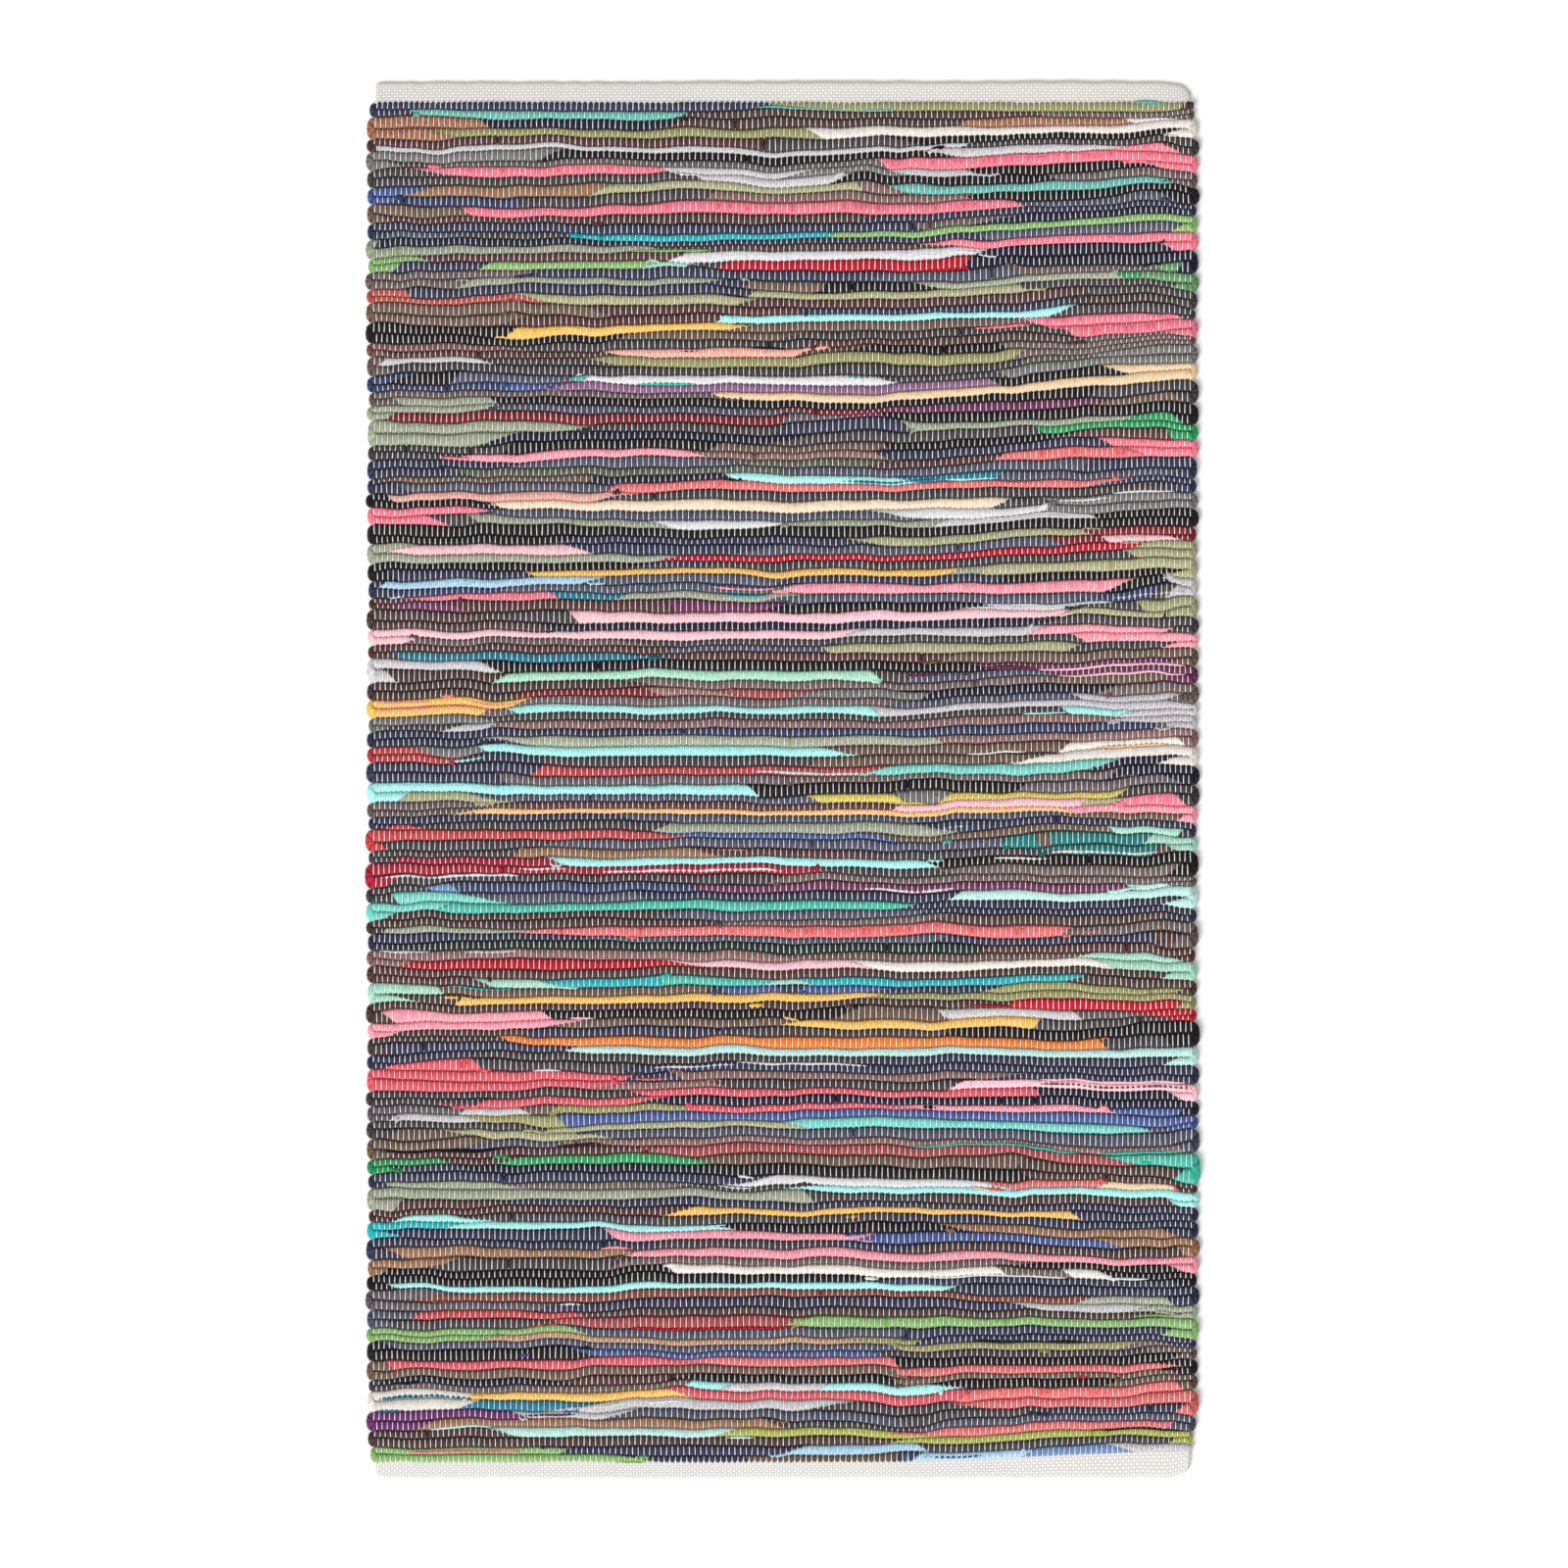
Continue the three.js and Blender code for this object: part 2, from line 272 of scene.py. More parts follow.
# The weaver's chart, a line for each row from the far end to the near one: the cloths that show in it
# from left to right, each after the first with its start in centimetres from the left side.
CHART = """
navy, olive 44, dark brown 88.3
navy, teal 5, dark brown 34.5, taupe 72
copper, dark navy 13.5, dark brown 34, copper 64, off white 82
copper, olive 9, off white 48
maroon brown, charcoal 43, black 58
maroon brown, pale grey 1, charcoal 64
grey, black 21, pale grey 61, hot pink 81
charcoal, thin grey 7.4, hot pink 55
charcoal, hot pink 7.4, pale grey 32.5, grey 47, pale grey 57, black 65, hot pink 84
charcoal, pale grey 36, black 51, taupe 73
royal blue, caramel 6, khaki 26, dusty brown 53, teal 57, charcoal 86
denim, charcoal 17, dusty brown 37, black 64
brown, hot pink 11.3, slate 70
maroon brown, dark brown 25, navy 54
navy, taupe 59, dark navy 68
slate, charcoal 10, turquoise 22.6, leaf green 50
sage, dark navy 1.5, navy 28, slate 66
sage, dark brown 32, hot pink 60.5
leaf green, maroon brown 6.5, white 34, dark navy 66
navy, leaf green 13, mint 31, charcoal 36, scarlet 38.5, dark navy 64
taupe, navy 18.5, slate 55, taupe 69.5, soft green 85
taupe, sage 11, navy 37.5, brown 41, black 49, sage 60, emerald 80.5, soft green 83
coral red, navy 5, khaki 42, charcoal 70.5
coral red, khaki 18, maroon brown 41, charcoal 77
brown, maroon brown 26, navy 47, dark brown 76
brown, maroon brown 17, aqua 38.6, charcoal 74.5
black, mustard 16.3, brown 40.5, hot pink 71
black, brown 28, charcoal 46, hot pink 75
pinkish brown, charcoal 17, maroon brown 48, dark brown 60, taupe 76
maroon brown, salmon 26.5, maroon brown 47, black 53, taupe 68
taupe, pale grey 2, charcoal 13.5, olive 26, taupe 70
charcoal, dark olive 70, grey 78
denim, black 4, slate 10, jade 22.8, white 24.5, charcoal 56, grey 68
denim, royal blue 15, mauve 21, black 67, peach 80
taupe, peach 38
sage, black 14, charcoal 78
sage, slate 14, wine 46, plum 55, brown 79
wine, mauve grey 45, plum 51, black 55
sage, charcoal 24, navy 45, sage 58, emerald 82
sage, dark navy 15, charcoal 45, emerald 72
charcoal, black 16, brown 38, black 56, maroon brown 75
charcoal, pink 10, dusty brown 36, navy 55, hot pink 79
navy, slate 17, dark olive 40, maroon brown 55, coral 68, hot pink 83
navy, dark olive 10, slate 45, navy 77
navy, brown 2, dark navy 25, aqua 39.5, petrol 58, slate 68
navy, slate 4, coral 27, navy 80
black, salmon 3, charcoal 28
black, cream 14, charcoal 68, grey 73
hot pink, slate 14, white 57, grey 73
hot pink, charcoal 8, sage 12, white 32, sage 44.5, pale grey 61, black 78
black
black, navy 22, khaki 53, wine 77
sage, pale pink 4.5, navy 23.5, slate 42, wine 74, pale pink 79.5
sage, scarlet 33, khaki 83
black, navy 30, charcoal 37, khaki 82
navy, mustard 18, sage 63, khaki 66
navy, sky 2, slate 25, navy 45, black 68
denim, slate 15, pink 45, black 81, pale grey 86
maroon brown, hot pink 6, petrol 21, sage 28, slate 45, denim 78, charcoal 85
plum, maroon brown 10, plum 33, black 44, pale grey 66, charcoal 76, khaki 83
dark brown, charcoal 14, pale pink 23, khaki 75, dark navy 86
dark brown, dark navy 20, charcoal 73
pale pink, pale grey 52.5, pink 72
pale pink, taupe 5, charcoal 30, pink 76
maroon brown, slate 33, khaki 49.5, charcoal 76
petrol, maroon brown 31, brown 62
pale grey, black 14, plum 66
dark brown, mint 15, charcoal 54.5, slate 58, plum 73
dark brown, taupe 30, brown 73
dark brown, wine 17, dusty rose 31, brick 39, grey 47, dark navy 60, taupe 79
mustard, taupe 17.5, slate 57, lilac grey 76
mustard, taupe 13, aqua 16, lilac grey 54.5
grey, charcoal 14, aqua 75, lilac grey 81.5
charcoal, pale grey 9.5, dusty brown 14, lilac grey 80
navy, denim 33, brown 85
navy, sage 15, dusty brown 61
red, grey 6.5, aqua 13, brown 51, off white 75
red, navy 10, charcoal 19, brown 48, off white 71
navy, red 19, sea green 54.5, dark navy 79
navy, mauve grey 15, taupe 45, dark navy 80
aqua, black 42, mauve grey 70
aqua, khaki 4, slate 14, yellow 48, grey 57, yellow 62, charcoal 81
taupe, maroon brown 14, pale pink 57, khaki 77, hot pink 81
taupe, apricot 11.5, pink 75
navy, slate 28, brown 75
red, charcoal 6, sage 32, navy 61
red, royal blue 33.5, brown 56, mint 80
charcoal, slate 20, deep teal 68, brown 71.5, deep teal 73, mint 84
charcoal, caramel 17, maroon brown 37, charcoal 54, deep teal 73, maroon brown 85
crimson, aqua 21, black 60.5
crimson, charcoal 49, taupe 62
charcoal, taupe 44
charcoal, cornflower 7, denim 10, plum 36, pale aqua 82
sea green, slate 13, navy 30, pale aqua 63
sea green, jade 9, navy 58.5
dark brown, slate 33, navy 60
dark brown, taupe 38, dark brown 62
navy, sage 2, coral 17.5, taupe 75
navy, slate 24, navy 62, maroon brown 85
dark green, maroon brown 66
dusty brown, brown 46.5, mint 77
dusty brown, scarlet 4.5, pale pink 34.5, off white 53, mint 79
maroon brown, dark brown 55
maroon brown, mint 13, turquoise 20.5, jade 32, mint 43.5, turquoise 47, dark brown 76
mint, brown 8.5, navy 37.5, royal blue 39, navy 45, royal blue 47, navy 56, olive 67
mint, dark brown 4, mustard 10.5, olive 54.5
dark brown, scarlet 69
pink, black 20, brown 51.5, pale grey 61.5, taupe 76, scarlet 83
pink, brown 22.5, mustard 46, charcoal 72
dark brown, navy 18, charcoal 38.5, black 62
dark brown, orange 15.4, charcoal 79
navy, pale aqua 22.5
navy, charcoal 12, navy 54
rose red, charcoal 12.5, navy 29
rose red, navy 29, dusty brown 34, navy 69
rose red, dusty brown 27, charcoal 38, pale pink 63
charcoal, rose red 30, dark navy 72
charcoal, rose red 12.5, dark navy 31
mauve grey, pale grey 11, taupe 18, olive 21, rose red 35, pink 58, royal blue 79.5
pale grey, olive 12, royal blue 21.5
charcoal, khaki 20, sea green 46, slate 84
brown, khaki 10, slate 25
brown, slate 13.5, dusty brown 22
maroon brown, brick 30, jade 80.7
emerald, maroon brown 9, emerald 16, brown 36.5, dark brown 70
navy, dark navy 11, black 36, dark brown 70
navy, white 41.5, coral 67.5, peach 79, coral 87
sage, taupe 16, charcoal 35, aqua 47
sage, charcoal 48, dark brown 60
maroon brown, navy 15.5
maroon brown, mustard 34.5, navy 76
aqua, charcoal 12, navy 57
turquoise, aqua 10, black 39, caramel 62.8
navy, pink 26.6, royal blue 53, caramel 79.5
navy, charcoal 32, navy 51, dark brown 58
caramel, pink 29
caramel, charcoal 9, taupe 28, black 70
black, off white 33, taupe 68, off white 75, black 79.5
black, navy 55
aqua, navy 62.6
mauve grey, rust 8, sage 77
mauve grey, navy 20, pale grey 70, sage 83
slate, red 5.8, dark brown 24
charcoal, brick 21, leaf green 46
leaf green, slate 23.5, navy 58
leaf green, tan 13.5, olive 52, navy 59
black, slate 3, olive 57, taupe 82.5
black, royal blue 24, charcoal 55, taupe 84
brown, rose red 3, coral 35, black 57
brown, coral 57, black 86
charcoal, dark navy 2, maroon brown 22.5, black 34.5, brown 57
taupe, aqua 35, pale grey 39, aqua 49, black 62, brown 80
off white, mustard 12, rose red 34, coral 64
off white, petrol 11.5, pale grey 23, charcoal 50, coral 64
purple, pale grey 17.6, slate 28, charcoal 58, navy 72
purple, caramel 6.5, charcoal 44, slate 58
dark brown, pale aqua 15.5, lime 39.3, coral 60
dark brown, lime 57
leaf green, navy 22, sky 46, charcoal 60
leaf green, navy 30, brown 41, navy 57, sky 59, cornflower 71, lilac grey 81
"""

# Thin strands and frayed edges that lie along the rows, by cloth. For each: where it lies, in rows from
# the far end (a whole number is the line between two rows), and its start and end in centimetres.
STRANDS = """
teal: 0.85 42 57, 0.1 82.8 86.2, 0.32 82.9 86.4
leaf green: 17.9 29 37, 142.6 82 87
white: 18.6 59 66, 47.4 74 80, 47 80 87, 76.9 64 70.5, 90.3 17 22, 90.6 26 45, 91.2 1 17, 92.7 53 63
white: 114 18.6 21.4, 113.4 31.5 39.7, 113.1 40 53.5, 127.1 38 41.5, 137.9 60 75, 137.9 79 84
white: 153.4 24 35, 141.2 21 24
scarlet: 19.95 60 64, 106.75 63.5 69, 143.95 29 47
hot pink: 27.1 65 71, 41.7 8 12, 158.6 4.5 17, 158.45 8.4 10.6, 158.45 14.4 16.6
black: 29.3 34 36, 29 41.5 45, 123.2 1.5 17, 122.8 21 27, 145.85 65 77, 157 78 88
jade: 32.9 29.5 35.5, 32.2 51 54, 122.9 58 76, 122.8 78 88
petrol: 44.7 51 62, 57.2 29 31, 152.85 1.5 12, 153.95 1 4
aqua: 44.8 62 67.5, 72.9 70 75, 78.7 42 54, 77.5 9 13, 132.2 37 39
coral: 45.1 27 31, 97.6 76 79, 114.7 29 33.4, 127.1 66 68, 156.3 56 60
pale grey: 49.1 66 78, 59.1 66 80, 58.6 80 88, 57.4 85.5 88, 100.1 1.5 7, 100.3 11 17
turquoise: 58.2 38.5 43, 104.1 9 16
pink: 57.4 37.5 44, 70.4 1.5 7, 71.3 1.5 14, 70.6 12 17, 133.8 52.8 54.5, 134.9 25.8 29
plum: 67.3 57 66, 66.7 66 72, 154.5 17.5 23
pale pink: 67 72 88, 68 74 88, 107.95 22.5 25, 115.2 63 70, 114.9 72 88
apricot: 76.9 78 86, 127.1 64.5 66.5
yellow: 81.9 56 60
off white: 85.5 61 65, 89.3 67 73, 88.7 73 85
tan: 88.2 38 41
mustard: 105.3 8 11
rose red: 117.7 8 12.5
pale aqua: 155.95 7 14, 157.1 39 42
dusty brown: 115.5 72 88
royal blue: 159.6 59 66
"""

# Strip ends that stand up in a small round knob, by cloth. For each: where it lies, as for the strands,
# and its middle in centimetres.
KNOBS = """
black: 5.9 61, 118.5 60
hot pink: 7.6 7.5, 12.5 11.5, 69.9 9
mustard: 26.5 16.5, 106.4 42, 131.3 52, 152.5 12.4
turquoise: 15.5 23
aqua: 25.4 39
jade: 87.1 62, 123.8 83.5
coral: 98 29, 115.5 88
denim: 97.8 87.5
off white: 138.3 54, 137.2 33
brick: 123.2 30.5
scarlet: 150.8 76.7
olive: 147.2 72.5
lime: 157.3 79
leaf green: 159.2 30, 143.3 46.5
peach: 34.5 38.5
royal blue: 147.6 17.8
"""

# How much nearer to the rug's far end the right-hand end of a row lies than its middle. Columns: row,
# and millimetres.
RISES = (
    (0, 0), (8, 6), (15, 16), (25, 8), (34, 20), (45, 8), (53, 13), (60, 4), (74, 8), (100, 2), (115, -2),
    (128, -10), (136, -7), (143, 0), (156, 13), (160, 11),
)
RISE_FROM = 0.60  # where it begins, as a share of the rug's width

# How a row swells and thins along its length. Columns: by what share, and in how many stretches.
ROW_UNEVENNESS = ((0.18, 5), (0.14, 18), (0.08, 55))
ROW_THINNEST = 0.4  # but no thinner than this share
ROW_EASING = 3  # its width is averaged over this many warp threads to either side
ROW_EVENING = (6, 0.95)  # and evened out over so many rows to either side, by this power
WAVE_CALMING = (9, 0.75)  # waves over so many rows to either side are taken out again, by this share
WAVE_FREE_END = 1 / 16  # but less and less in this part of the rug's length at each end


def linear(channel):
    """An sRGB number out of 255 as a linear one."""
    share = channel / 255
    return share / 12.92 if share <= 0.04045 else ((share + 0.055) / 1.055) ** 2.4


def smooth_step(value, low=0, high=1):
    """Rising smoothly from 0 to 1 while the value goes from low to high."""
    share = np.clip((value - low) / (high - low), 0, 1)
    return share * share * (3 - 2 * share)


def smooth_noise(rng, shape, cells):
    """Random numbers from -1 to 1 on a grid of this shape, drifting over this many cells each way."""
    coarse = rng.uniform(-1, 1, (cells[0] + 2, cells[1] + 2))
    for axis in (0, 1):
        at = np.linspace(0, cells[axis], shape[axis])
        low = np.floor(at).astype(int)
        share = smooth_step(at - low)
        share = share[:, None] if axis == 0 else share[None, :]
        coarse = np.take(coarse, low, axis) * (1 - share) + np.take(coarse, low + 1, axis) * share
    return coarse


def blurred(values, reach, axis):
    """Values averaged over this many places to either side."""
    width = 2 * reach + 1
    pad = [(0, 0), (0, 0)]
    pad[axis] = (reach + 1, reach)
    total = np.cumsum(np.pad(values, pad, mode="edge"), axis)
    count = values.shape[axis]
    high = np.take(total, np.arange(width, width + count), axis)
    low = np.take(total, np.arange(0, count), axis)
    return (high - low) / width


# Laying the strips


def read_cloths():
    cloths = {}
    for line in CLOTH_LIST.strip().splitlines():
        name, *numbers = line.rsplit(" ", 5)
        cloths[name] = Cloth(*map(float, numbers))
    return cloths


CLOTHS = read_cloths()


def joints_of(strip):
    """Where along the weft one strip ends and the next begins."""
    return np.flatnonzero(np.diff(strip)) + 1


def strip_thickness(rng, names, strip):
    """How thick the weft is along its length: each strip's own, fuller or thinner where it is joined."""
    own = np.array([CLOTHS[n].thickness for n in names]) * rng.uniform(*OWN_THICKNESS, len(names))
    thick = own[strip]
    reach = np.arange(-SWELL_CUT, SWELL_CUT + 1)
    for at in joints_of(strip):
        swell = rng.uniform(*JOINT_SWELL)
        near = reach + at
        inside = (near >= 0) & (near < len(strip))
        thick[near[inside]] *= 1 + swell * np.exp(-((reach[inside] / rng.uniform(*JOINT_REACH)) ** 2))
    return thick


def end_at(centimetres):
    share = (centimetres / 100 - EDGE_REACH) / (FIELD_WIDTH - 2 * EDGE_REACH)
    return int(np.clip(round(share * (ENDS - 1)), 0, ENDS - 1))


def lay_strips(rng):
    """The cloths in the order in which the weft takes them up, and which one it is at each crossing."""
    names = []
    stretches = []
    for row, line in enumerate(CHART.strip().splitlines()):
        first, *others = line.split(", ")
        others = [part.rsplit(" ", 1) for part in others]
        cloths = [first, *[cloth for cloth, _ in others]]
        places = [0, *[end_at(float(start)) for _, start in others], ENDS]
        runs = list(zip(cloths, np.diff(places)))
        if row % 2 == 0:
            runs.reverse()
        for index, (cloth, length) in enumerate(runs):
            if not names:
                names.append(cloth)
            elif names[-1] != cloth:
                carried = min(int(rng.integers(*TURN_CARRY)), length - 1) if index == 0 else 0
                stretches.append(np.full(carried, len(names) - 1))
                length -= carried
                names.append(cloth)
            stretches.append(np.full(length, len(names) - 1))
    return names, np.concatenate(stretches)


def by_row(along):
    """Values along the weft as rows by warp threads, left to right."""
    grid = along.reshape(ROWS, ENDS, *along.shape[1:]).copy()
    grid[::2] = grid[::2, ::-1]
    return grid


def cloth_values(name):
    """A cloth's colour, as linear numbers, and how mottled it is."""
    cloth = CLOTHS[name]
    return np.array([*map(linear, cloth[:3]), cloth.heather])


def strip_looks(rng, names, strip):
    """Along the weft: each stretch's colour and mottling, those of the strip it is joined to, and how far
    the join has gone over from the one to the other."""
    shades = np.array([cloth_values(name) for name in names])
    shades[:, :3] *= rng.uniform(*OWN_SHADE, (len(names), 1))
    own = shades[strip]
    joined = own.copy()
    share = np.zeros(len(strip))
    slant = np.zeros(len(strip))
    joints = joints_of(strip)
    gaps = np.diff(joints, prepend=0, append=len(strip))
    for at, before, after in zip(joints, gaps, gaps[1:]):
        from_turn = min(at % ENDS, ENDS - at % ENDS)
        wanted = JOINT_HALF[0] + (JOINT_HALF[1] - JOINT_HALF[0]) * rng.uniform() ** 2
        half = max(int(min(wanted, before // 2, after // 2, from_turn - 1)), 1)
        zone = np.arange(at - half, at + half + 1)
        own[zone] = shades[strip[at - 1]]
        joined[zone] = shades[strip[at]]
        share[zone] = (zone - at + half) / (2 * half)
        slant[zone] = rng.choice([-1, 1]) * rng.uniform(*JOINT_SLANT)
        own[at + half] = shades[strip[at]]
    return own, joined, share, slant


# Where the rows and the warp threads lie


def warp_places(rng):
    """X of each warp thread at each row."""
    even = np.linspace(-1, 1, ENDS)
    across = even * (1 + WARP_CROWDING) - WARP_CROWDING * even**3
    row = np.arange(ROWS) + 0.5
    from_end = np.minimum(row, ROWS - row) / ROWS * FIELD_LENGTH
    drawn = END_DRAW_IN * np.clip(1 - from_end / END_DRAW_LENGTH, 0, 1) ** 2
    wander = SIDE_WANDER * smooth_noise(rng, (ROWS, 2), SIDE_WAVES)
    half = FIELD_WIDTH / 2 - EDGE_REACH - SIDE_WANDER
    left = -(half - drawn) + wander[:, 0]
    right = half - drawn + wander[:, 1]
    middle, reach = (left + right) / 2, (right - left) / 2
    x = middle[:, None] + reach[:, None] * across
    inward = 1 - even**4
    return x + WARP_WANDER * smooth_noise(rng, (ROWS, ENDS), WARP_WAVES) * inward


def row_edges(rng, thickness):
    """Y of the lines between rows, at each warp thread, from the far end to the near one."""
    uneven = 1.0
    for swing, cells in ROW_UNEVENNESS:
        uneven = uneven + swing * smooth_noise(rng, (ROWS, ENDS), (ROWS - 1, cells))
    thick = blurred(thickness * np.maximum(uneven, ROW_THINNEST), ROW_EASING, 1)
    rows_evened, power = ROW_EVENING
    thick = thick / blurred(thick, rows_evened, 0) ** power
    down = np.vstack([np.zeros(ENDS), np.cumsum(thick, 0)])
    even = np.linspace(0, 1, ROWS + 1)[:, None]
    astray = down / down[-1] - even
    rows_calmed, calming = WAVE_CALMING
    from_end = np.minimum(even, 1 - even)
    astray -= calming * blurred(astray, rows_calmed, 0) * np.minimum(1, from_end / WAVE_FREE_END)
    edges = FIELD_HIGH.y - FIELD_LENGTH * (even + astray)
    rows, rises = np.array(RISES, float).T
    rise = np.interp(np.arange(ROWS + 1), rows, rises) / 1000
    across = np.linspace(0, 1, ENDS)
    return edges + rise[:, None] * smooth_step(across, RISE_FROM)


# Meshes


def add_object(name, data):
    obj = bpy.data.objects.new(name, data)
    bpy.context.scene.collection.objects.link(obj)
    return obj


def make_mesh(name, points, faces, material):
    mesh = bpy.data.meshes.new(name)
    mesh.from_pydata(points, [], faces)
    mesh.update()
    mesh.shade_smooth()
    mesh.materials.append(material)
    return add_object(name, mesh)


def add_map(obj, name, corners):
    layer = obj.data.uv_layers.new(name=name, do_init=False)
    layer.uv.foreach_set("vector", np.asarray(corners, np.float32).ravel())


def add_values(obj, name, kind, values):
    field = "color" if kind == "FLOAT_COLOR" else "value"
    layer = obj.data.attributes.new(name, kind, "POINT")
    layer.data.foreach_set(field, np.asarray(values, np.float32).ravel())


SECTION = 5  # points round a strip: near side, near shoulder, far shoulder, far side, underside
MIRRORED = [3, 2, 1, 0, 4]  # the same points of the strip that it turns into
SIDE_ON = np.array([-1, -0.5, 0.5, 1, 0])  # how far across the strip each lies, for slanting joins
ROUND = np.array([0, 1.5, 3.1, 4.6, 6.5, 8.4])  # how far round it each point lies, in warp spacings
ROW_OFFSET = 74  # the strip map moves on by this many warp spacings from row to row
MAP_ROWS_SHARE = 0.92  # of the baking map's height, for the rows; the tails and cut ends have the rest
MAP_TAILS = (0.93, 0.975)  # the tails lie between these heights in it
MAP_CUTS = 0.988  # and a band's two cut ends at this one
MAP_CUTS_ACROSS = (0.02, 0.06)
MAP_ROW_GAP = 0.02  # below and above a row, as a share of its height in the map
MAP_TAIL_WIDTH = 0.9  # of a tail's part of the map, for its sides
MAP_TAIL_ENDS = (0.02, 1.0)  # and where its two ends lie across that, with
MAP_TAIL_END_SIZE = (0.03, 0.01)  # this radius across and up
PENTAGON_RADIUS = 0.004  # of a cut end, in the maps
TAIL_OFFSET = 9  # the strip map moves on by this many warp spacings from tail to tail
TAIL_STEP = (2, 0.7)  # and by this from section to section, and from side to side
TAIL_ENDS_AT = (0, 6)  # and this is where its ends lie

Weave = namedtuple("Weave", "x edges middle half across height top")
Looks = namedtuple("Looks", "own joined share slant")


def row_waves(rng, swing, stretches):
    """Slow waves along each row, each row by itself."""
    return swing * smooth_noise(rng, (ROWS, ENDS), (ROWS - 2, stretches))


def end_waves(rng, swing, stretches, rows=1):
    """The same along a heading."""
    return swing * smooth_noise(rng, (rows, ENDS), (1, stretches))[0]


def set_weave(rng, thickness):
    """Where every strip's section stands at every warp thread."""
    x = warp_places(rng)
    edges = row_edges(rng, thickness)
    middle = (edges[:-1] + edges[1:]) / 2
    half = (edges[:-1] - edges[1:]) / 2
    tied = (np.arange(ENDS) + np.arange(ROWS)[:, None]) % 2 == 0
    half = half + PRESSED_OVERLAP + np.where(tied, -TIE_PINCH, TIE_PINCH)
    fullness = np.clip(half / EVEN_HALF, *CROWN_WIDTHS)
    crown = STRIP_CROWN * (1 - CROWN_GIVE + CROWN_GIVE * fullness)
    crown += row_waves(rng, *CROWN_UNEVENNESS)
    top = crown - np.where(tied, TIE_DEPTH, 0)
    under = np.where(tied, 0.0, TIE_DEPTH_UNDER)
    lift = CREASE_HEIGHT * rng.uniform(-1, 1, (2, ROWS, ENDS))
    shift = CREASE_SHIFT * rng.uniform(-1, 1, (2, ROWS, ENDS))
    shift += row_waves(rng, *FOLD_SHIFT)
    shoulder = half * STRIP_SHOULDER
    across = np.stack([-half, shift[0] - shoulder, shift[1] + shoulder, half, np.zeros_like(half)], -1)
    side = np.full_like(half, STRIP_SIDE)
    shoulder_top = top - SHOULDER_DROP
    height = np.stack([side, shoulder_top + lift[0], shoulder_top + lift[1], side, under], -1)
    return Weave(x, edges, middle, half, across, height, top)


def loose_end(weave, row, end, side):
    """A strip's end that stands out of the side: the very first and the very last."""
    sections = []
    for share in LOOSE_END_SHARES:
        flat = weave.across[row, end] * (1 - LOOSE_END_TAPER * share)
        out = np.full(SECTION, weave.x[row, end] + side * LOOSE_END_REACH * share)
        sections.append(np.stack([out, weave.middle[row, end] + flat, weave.height[row, end]], -1))
    return np.array(sections)


def half_turn(weave, row, side):
    """The sections of one half of a turn, from the middle of the turn to the row's outermost thread."""
    end = 0 if side < 0 else ENDS - 1
    other = row + 1 if (row % 2 == 0) == (side < 0) else row - 1
    if not 0 <= other < ROWS:
        return loose_end(weave, row, end, side)
    turn_rng = np.random.default_rng(1000 * SEED + 2 * min(row, other) + (side > 0))
    depth = TURN_DEPTH * turn_rng.uniform(*TURN_DEPTHS)
    fullness = turn_rng.uniform(*TURN_FULLNESS)
    lump = turn_rng.uniform(*TURN_LUMPS, SECTION)
    lump[4] = 0
    centre_y = (weave.middle[row, end] + weave.middle[other, end]) / 2
    centre_x = (weave.x[row, end] + weave.x[other, end]) / 2
    radius = abs(weave.middle[row, end] - weave.middle[other, end]) / 2
    upward = 1 if weave.middle[row, end] > centre_y else -1
    if upward < 0:
        lump = lump[MIRRORED]
    own_reach = weave.across[row, end] * upward
    mean_reach = (own_reach - weave.across[other, end][MIRRORED] * upward) / 2
    mean_reach = np.clip(mean_reach, -TURN_FULLEST * EVEN_HALF, TURN_FULLEST * EVEN_HALF)
    depth = min(depth, TURN_OUTERMOST - mean_reach.max() * fullness)
    mean_height = (weave.height[row, end] + weave.height[other, end][MIRRORED]) / 2
    sections = []
    for degrees in TURN_ANGLES:
        angle = math.radians(degrees)
        share = degrees / 90
        reach = own_reach * (1 - share) + mean_reach * share * fullness
        reach = np.maximum(reach, -TURN_HOLLOW * radius)
        height = weave.height[row, end] * (1 - share) + mean_height * share + lump * share
        outward = math.sin(angle) ** TURN_SQUARENESS
        upright = math.cos(angle) ** TURN_SQUARENESS if degrees < 90 else 0
        middle_x = centre_x * share + weave.x[row, end] * (1 - share) + side * depth * outward
        middle_y = centre_y + upward * radius * upright
        out_x = side * math.sin(angle)
        out_y = upward * math.cos(angle)
        sections.append(np.stack([middle_x + out_x * reach, middle_y + out_y * reach, height], -1))
    return np.array(sections)


def circle(count, turned=0.0):
    """This many points round a circle of radius 1."""
    angle = np.arange(count) / count * 2 * math.pi + turned
    return np.stack([np.cos(angle), np.sin(angle)], -1)


def small_pentagon(middle):
    return circle(SECTION) * PENTAGON_RADIUS + middle


Tail = namedtuple("Tail", "points values")


def make_tail(sections, value):
    """A tail or strand. Its sections are each x, y and z of the middle, and the radius at each point."""
    out = circle(SECTION, TAIL_TURNED)
    points = []
    for x, y, z, radius in sections:
        ring = [np.full(SECTION, x), y + out[:, 0] * radius, z + out[:, 1] * radius * TAIL_FLATNESS]
        points.append(np.stack(ring, -1))
    return Tail(np.array(points), np.concatenate([value, value, [0]]))


